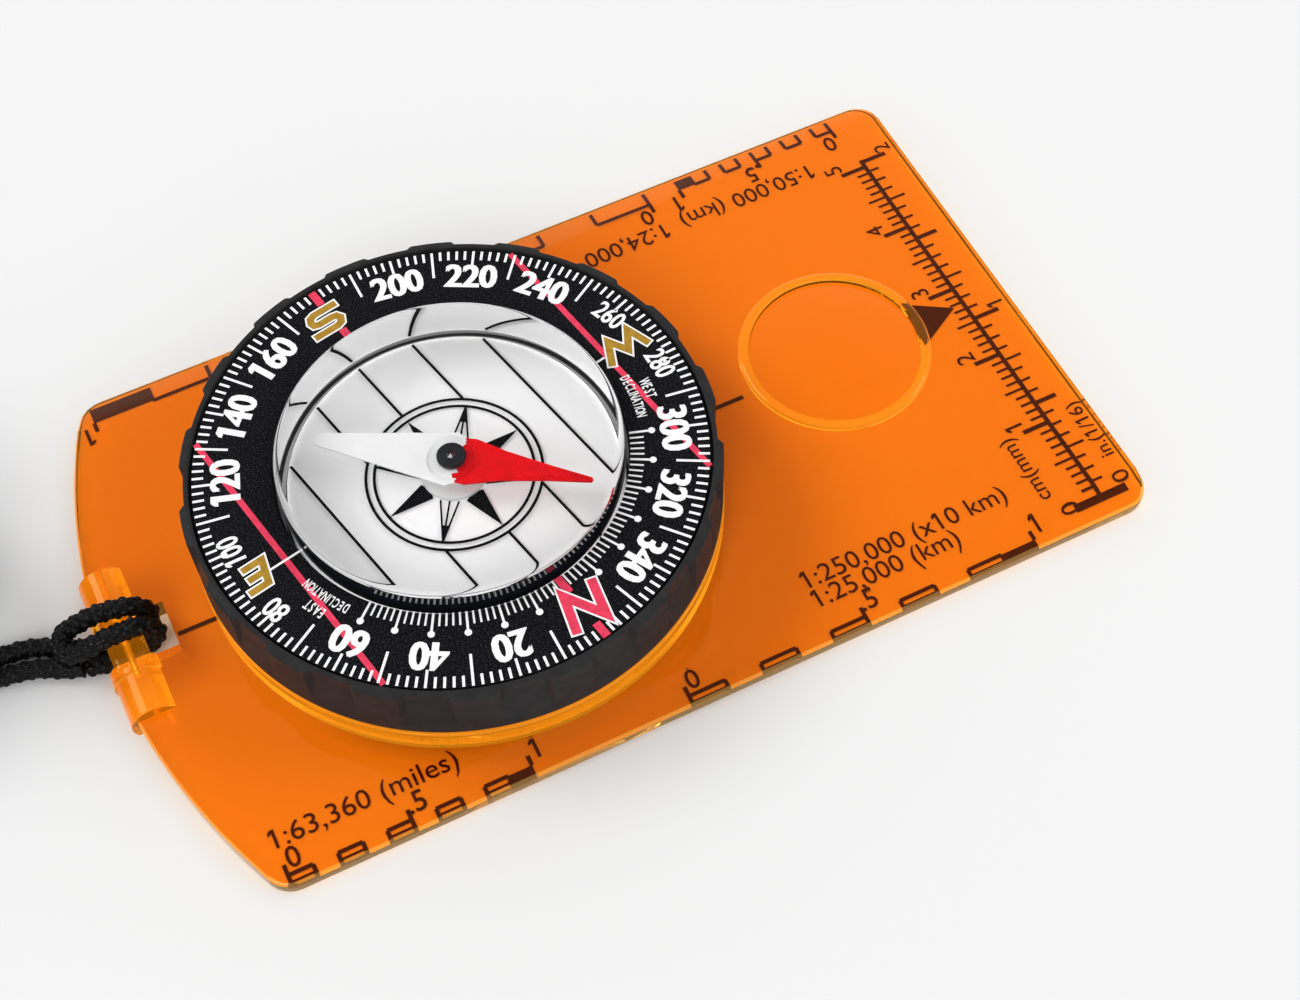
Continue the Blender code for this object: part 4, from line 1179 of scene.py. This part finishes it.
def make_dial(dial):
    low = DIAL_TOP - DIAL_THICK
    profile = [(DIAL_OUTER, DIAL_TOP), (DIAL_OUTER, low), (DIAL_INNER, low), (DIAL_INNER, DIAL_TOP)]
    disc = turned("dial_disc", rounded(profile, 0.08 * MM, 3), dial_plastic(), "bezel", dial,
                  FINE_STEPS)
    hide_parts("dial_ring")

    white = Print(DIAL_TOP + 0.012 * MM, DIAL_TOP + 0.026 * MM, dial)
    pink = Print(DIAL_TOP + 0.002 * MM, DIAL_TOP + 0.012 * MM, dial)
    pink_top = Print(DIAL_TOP + 0.026 * MM, DIAL_TOP + 0.038 * MM, dial)
    gold = Print(DIAL_TOP + 0.026 * MM, DIAL_TOP + 0.038 * MM, dial)

    for degrees in range(2, 360, 2):
        if degrees == 180:
            continue
        turn = bearing(degrees)
        start = SHORT_TICK_START
        if degrees % 20 == 0:
            start = MIDDLE_TICK_START
        elif degrees % 20 == 10 and degrees not in (90, 270):
            start = LONG_TICK_START
        white.line((0.0, start), (0.0, TICK_END), 0.27 * MM, turn)
    for degrees in range(-60, 61, 2):
        turn = bearing(degrees)
        if degrees == 0:
            continue
        long = degrees % 10 == 0
        end, width = (SCALE_LONG_END, 0.24 * MM) if long else (SCALE_SHORT_END, 0.2 * MM)
        white.line((0.0, SCALE_START), (0.0, end), width, turn)
        if long:
            white.disc((0.0, 20.24 * MM), 0.36 * MM, turn=turn)
    for degrees in range(20, 360, 20):
        if degrees == 180:
            continue
        small = degrees in SMALL_FIGURES
        middle = bearing(degrees, SMALL_FIGURES.get(degrees, 22.4) * MM)
        size, thicker, bold, squeeze = (3.1, 0.03, 0.04, 0.74) if small else (4.15, 0.11, 0.07, 0.88)
        for shift in (-thicker, thicker):
            place = middle @ Matrix.Translation((shift * MM, 0.0, 0.0))
            white.words(str(degrees), place, size * MM, bold * MM, squeeze)

    for strokes, width, layer in ((NORTH_STROKES, 0.95, pink_top), (EAST_STROKES, 0.72, gold),
                                  (SOUTH_STROKES, 0.78, gold), (WEST_STROKES, 0.78, gold)):
        for points in strokes:
            points = [(x * MM, y * MM) for x, y in points]
            white.stroke(points, (width + 0.36) * MM, overrun=0.18 * MM)
            layer.stroke(points, width * MM)

    rim = math.sqrt(25.95**2 - 19.5**2) * MM
    for x in (19.5 * MM, -19.5 * MM):
        pink.line((x, -rim), (x, rim), 0.62 * MM)
    for start, end, sign in ((17.95, 20.0, 1.0), (24.2, 26.0, 1.0), (17.95, 20.0, -1.0), (24.0, 26.0, -1.0)):
        pink.line((0.0, sign * start * MM), (0.0, sign * end * MM), 0.85 * MM)
    white.line((17.6 * MM, 0.0), (21.6 * MM, 0.0), 0.24 * MM)
    white.line((-17.95 * MM, 0.0), (-19.2 * MM, 0.0), 0.24 * MM)
    for side, azimuth, middle in (("EAST", 72.6, 72.6), ("WEST", 286.0, 287.0)):
        arc_words(white, side, 21.15 * MM, azimuth, 1.55 * MM)
        arc_words(white, "DECLINATION", 19.55 * MM, middle, 1.45 * MM)

    ink = printed("print_white", (0.95, 0.95, 0.95), 0.03)
    white.finish("dial_marks", ink, "bezel")
    rose = printed("print_pink", (0.80, 0.055, 0.115), 0.12)
    pink.finish("dial_lines", rose, "bezel")
    pink_top.finish("dial_north", rose, "bezel")
    gold.finish("dial_points", printed("print_gold", (0.42, 0.24, 0.03), 0.15), "bezel")


def arc_words(layer, text, radius, middle, size):
    """Small condensed text along an arc, its tops outward."""
    narrow = {"I": 0.42, "L": 0.86, "T": 0.88}
    widths = [narrow.get(letter, 1.0) * size * 0.39 for letter in text]
    place = -sum(widths) / 2.0
    for letter, width in zip(text, widths):
        degrees = middle + math.degrees((place + width / 2.0) / radius)
        layer.words(letter, bearing(degrees, radius), size, 0.03 * MM, 0.5)
        place += width


# --- Capsule ---


def make_capsule(dial):
    profile = [(0.0, CAPSULE_TOP), (CAPSULE_RADIUS, CAPSULE_TOP), (CAPSULE_RADIUS, CAPSULE_BOTTOM),
               (0.0, CAPSULE_BOTTOM)]
    block = turned("capsule", rounded(profile, 0.6 * MM, 6), clear_acrylic(), "bezel", dial,
                   FINE_STEPS)
    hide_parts("capsule_cup", "capsule_lid")

    # A thin glossy black band just outside the capsule's wall: a painted dark reflection, standing for the
    # dark band of reflected dial and bezel seen in the wall.
    upper, lower = CAPSULE_TOP - 0.65 * MM, DIAL_TOP - 0.95 * MM
    outer, inner = CAPSULE_RADIUS + 0.09 * MM, CAPSULE_RADIUS + 0.03 * MM
    dark_band = [(outer, upper), (outer, lower), (inner, lower), (inner, upper)]
    turned("capsule_painted_dark_band", dark_band, sleeve_black(), "bezel", dial, FINE_STEPS)

    disc = [(0.0, FLOOR_TOP), (0.0, FLOOR_TOP - 0.3 * MM), (FLOOR_RADIUS, FLOOR_TOP - 0.3 * MM),
            (FLOOR_RADIUS, FLOOR_TOP)]
    # The floor's glow is painted light that brightens it, as if lit from below through the plate's hole.
    base = turned("capsule_floor", rounded(disc, 0.06 * MM, 2), white_plastic(glow=0.23), "bezel",
                  dial, FINE_STEPS)
    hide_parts("rose_disc")

    ink = Print(FLOOR_TOP + 0.01 * MM, FLOOR_TOP + 0.04 * MM, dial @ bearing(ROSE_AZIMUTH))
    for radius in ROSE_RINGS:
        ink.ring((0.0, 0.0), radius, 0.31 * MM, 120)
    for degrees in range(0, 360, 90):
        turn = bearing(degrees)
        point = [(-1.05 * MM, 3.45 * MM), (0.0, 3.0 * MM), (1.05 * MM, 3.45 * MM), (0.0, ROSE_TIP)]
        ink.polygon(point, turn)
    for degrees in range(45, 360, 90):
        turn = bearing(degrees)
        for x in (-0.95, 0.0, 0.95):
            ink.line((x * MM, 3.3 * MM), (0.0, ROSE_TIP), 0.2 * MM, turn)
        ink.polygon([(-0.38 * MM, 6.2 * MM), (0.38 * MM, 6.2 * MM), (0.0, ROSE_TIP)], turn)
    for x in MERIDIANS:
        end = math.sqrt(MERIDIAN_REACH**2 - x**2)
        gap = math.sqrt(MERIDIAN_GAP**2 - x**2) if abs(x) < MERIDIAN_GAP else 0.0
        for start, stop in ((gap, end), (-end, -gap)) if gap else ((-end, end),):
            ink.line((x * MM, start * MM), (x * MM, stop * MM), 0.3 * MM)
    black = printed("print_black", (0.003, 0.003, 0.004), 0.2, 0.0)
    ink.finish("capsule_rose", black, "bezel")

    post = [(0.45 * MM, 8.6 * MM), (1.0 * MM, 8.6 * MM), (1.5 * MM, 6.9 * MM), (3.4 * MM, 6.35 * MM),
            (3.4 * MM, FLOOR_TOP), (0.45 * MM, FLOOR_TOP)]
    pivot = turned("pivot_base", rounded(post, 0.3 * MM), white_plastic("post_plastic"), "bezel",
                   dial, SMALL_STEPS)
    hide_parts("pivot_post")


def make_needle(needle):
    reach, half = NEEDLE_HALF_LENGTH, NEEDLE_HALF_WIDTH
    jagged = [(2.55, 0.75), (1.7, 0.35), (1.45, 1.0), (0.95, 0.55), (0.5, 1.25), (0.0, 0.9), (-0.8, 1.1),
              (-1.6, 0.7), (-2.2, 1.15), (-2.65, 0.8)]
    seam = [(x * MM, y * MM) for x, y in jagged]
    red_tip = arc((0.0, reach - 0.3 * MM), 0.3 * MM, 12.0, 168.0, 6)
    red = [(half * 0.84, 1.9 * MM), (half * 0.52, 5.2 * MM), (half * 0.26, 10.0 * MM)] + red_tip
    red += [(-half * 0.30, 10.0 * MM), (-half * 0.58, 5.2 * MM), (-half * 0.86, 1.95 * MM)] + seam[::-1]
    white_tip = arc((0.0, 0.75 * MM - reach), 0.75 * MM, 192.0, 348.0, 10)
    white = seam + [(-half, 0.0)] + white_tip + [(half, 0.0)]
    blade = bmesh.new()
    top = NEEDLE_BOTTOM + NEEDLE_THICK
    for index, outline in ((0, white), (1, red)):
        lower = [blade.verts.new((x, y, NEEDLE_BOTTOM)) for x, y in outline]
        upper = [blade.verts.new((x, y, top)) for x, y in outline]
        faces = [blade.faces.new(lower[::-1]), blade.faces.new(upper)]
        for face in faces + bridge(blade, lower, upper):
            face.material_index = index
    mesh = mesh_of("needle_blade", blade)
    mesh.transform(needle)
    # The needle's white half has a small painted glow.
    paint = [white_plastic("needle_white", (0.84, 0.84, 0.84), 0.06), needle_red()]
    item = placed("needle_blade", mesh, paint, "needle", sharp=None)
    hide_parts("needle")

    ridge = [(2.9 * MM, top), (2.6 * MM, top + 0.14 * MM), (2.3 * MM, top), (2.6 * MM, top - 0.1 * MM)]
    raised = turned("needle_ridge", ridge, paint, "needle", None, SMALL_STEPS * 2)
    for face in raised.data.polygons:
        face.material_index = int(face.center.y > 0.9 * MM)
    raised.data.transform(needle)

    cap = [(0.0, CAP_TOP), (CAP_RADIUS, CAP_TOP), (CAP_RADIUS, top + 0.3 * MM), (1.0 * MM, top + 0.3 * MM),
           (1.0 * MM, NEEDLE_BOTTOM - 0.4 * MM), (0.0, NEEDLE_BOTTOM - 0.4 * MM)]
    hub = turned("needle_cap", rounded(cap, 0.3 * MM), cap_plastic(), "needle", needle,
                 SMALL_STEPS)
    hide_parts("hub_cap")
    cut = [(0.0, CAP_TOP + 0.35 * MM), (0.5 * MM, CAP_TOP + 0.05 * MM), (0.5 * MM, CAP_TOP - 0.2 * MM),
           (0.0, CAP_TOP - 0.2 * MM)]
    gem = turned("needle_jewel", cut, jewel_stone(), "needle", needle, 6)
    gem.data.shade_flat()


# --- Build ---

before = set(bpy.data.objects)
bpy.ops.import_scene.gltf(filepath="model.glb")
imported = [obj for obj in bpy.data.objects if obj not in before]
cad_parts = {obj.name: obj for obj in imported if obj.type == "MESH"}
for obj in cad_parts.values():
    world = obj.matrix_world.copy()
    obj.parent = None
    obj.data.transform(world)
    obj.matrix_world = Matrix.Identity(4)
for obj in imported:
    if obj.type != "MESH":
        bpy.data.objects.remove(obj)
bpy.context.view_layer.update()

add_camera()
make_lanyard()
add_stage()

dial_place = facing(0.0, DIAL_Y, NORTH_AZIMUTH)
needle_place = facing(0.0, DIAL_Y, RED_AZIMUTH)
make_plate()
make_plate_ink()
make_bezel(dial_place)
make_dial(dial_place)
make_capsule(dial_place)
make_needle(needle_place)

KEPT_NODES = (
    ("lanyard_pin", steel()),
    ("pivot_pin", steel()),
    ("retaining_ring", black_plastic("ring_plastic")),
    ("fill_plug", white_plastic("plug_plastic")),
    ("jewel_bearing", clear_acrylic()),
)
for name, material in KEPT_NODES:
    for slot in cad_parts[name].material_slots:
        slot.material = material
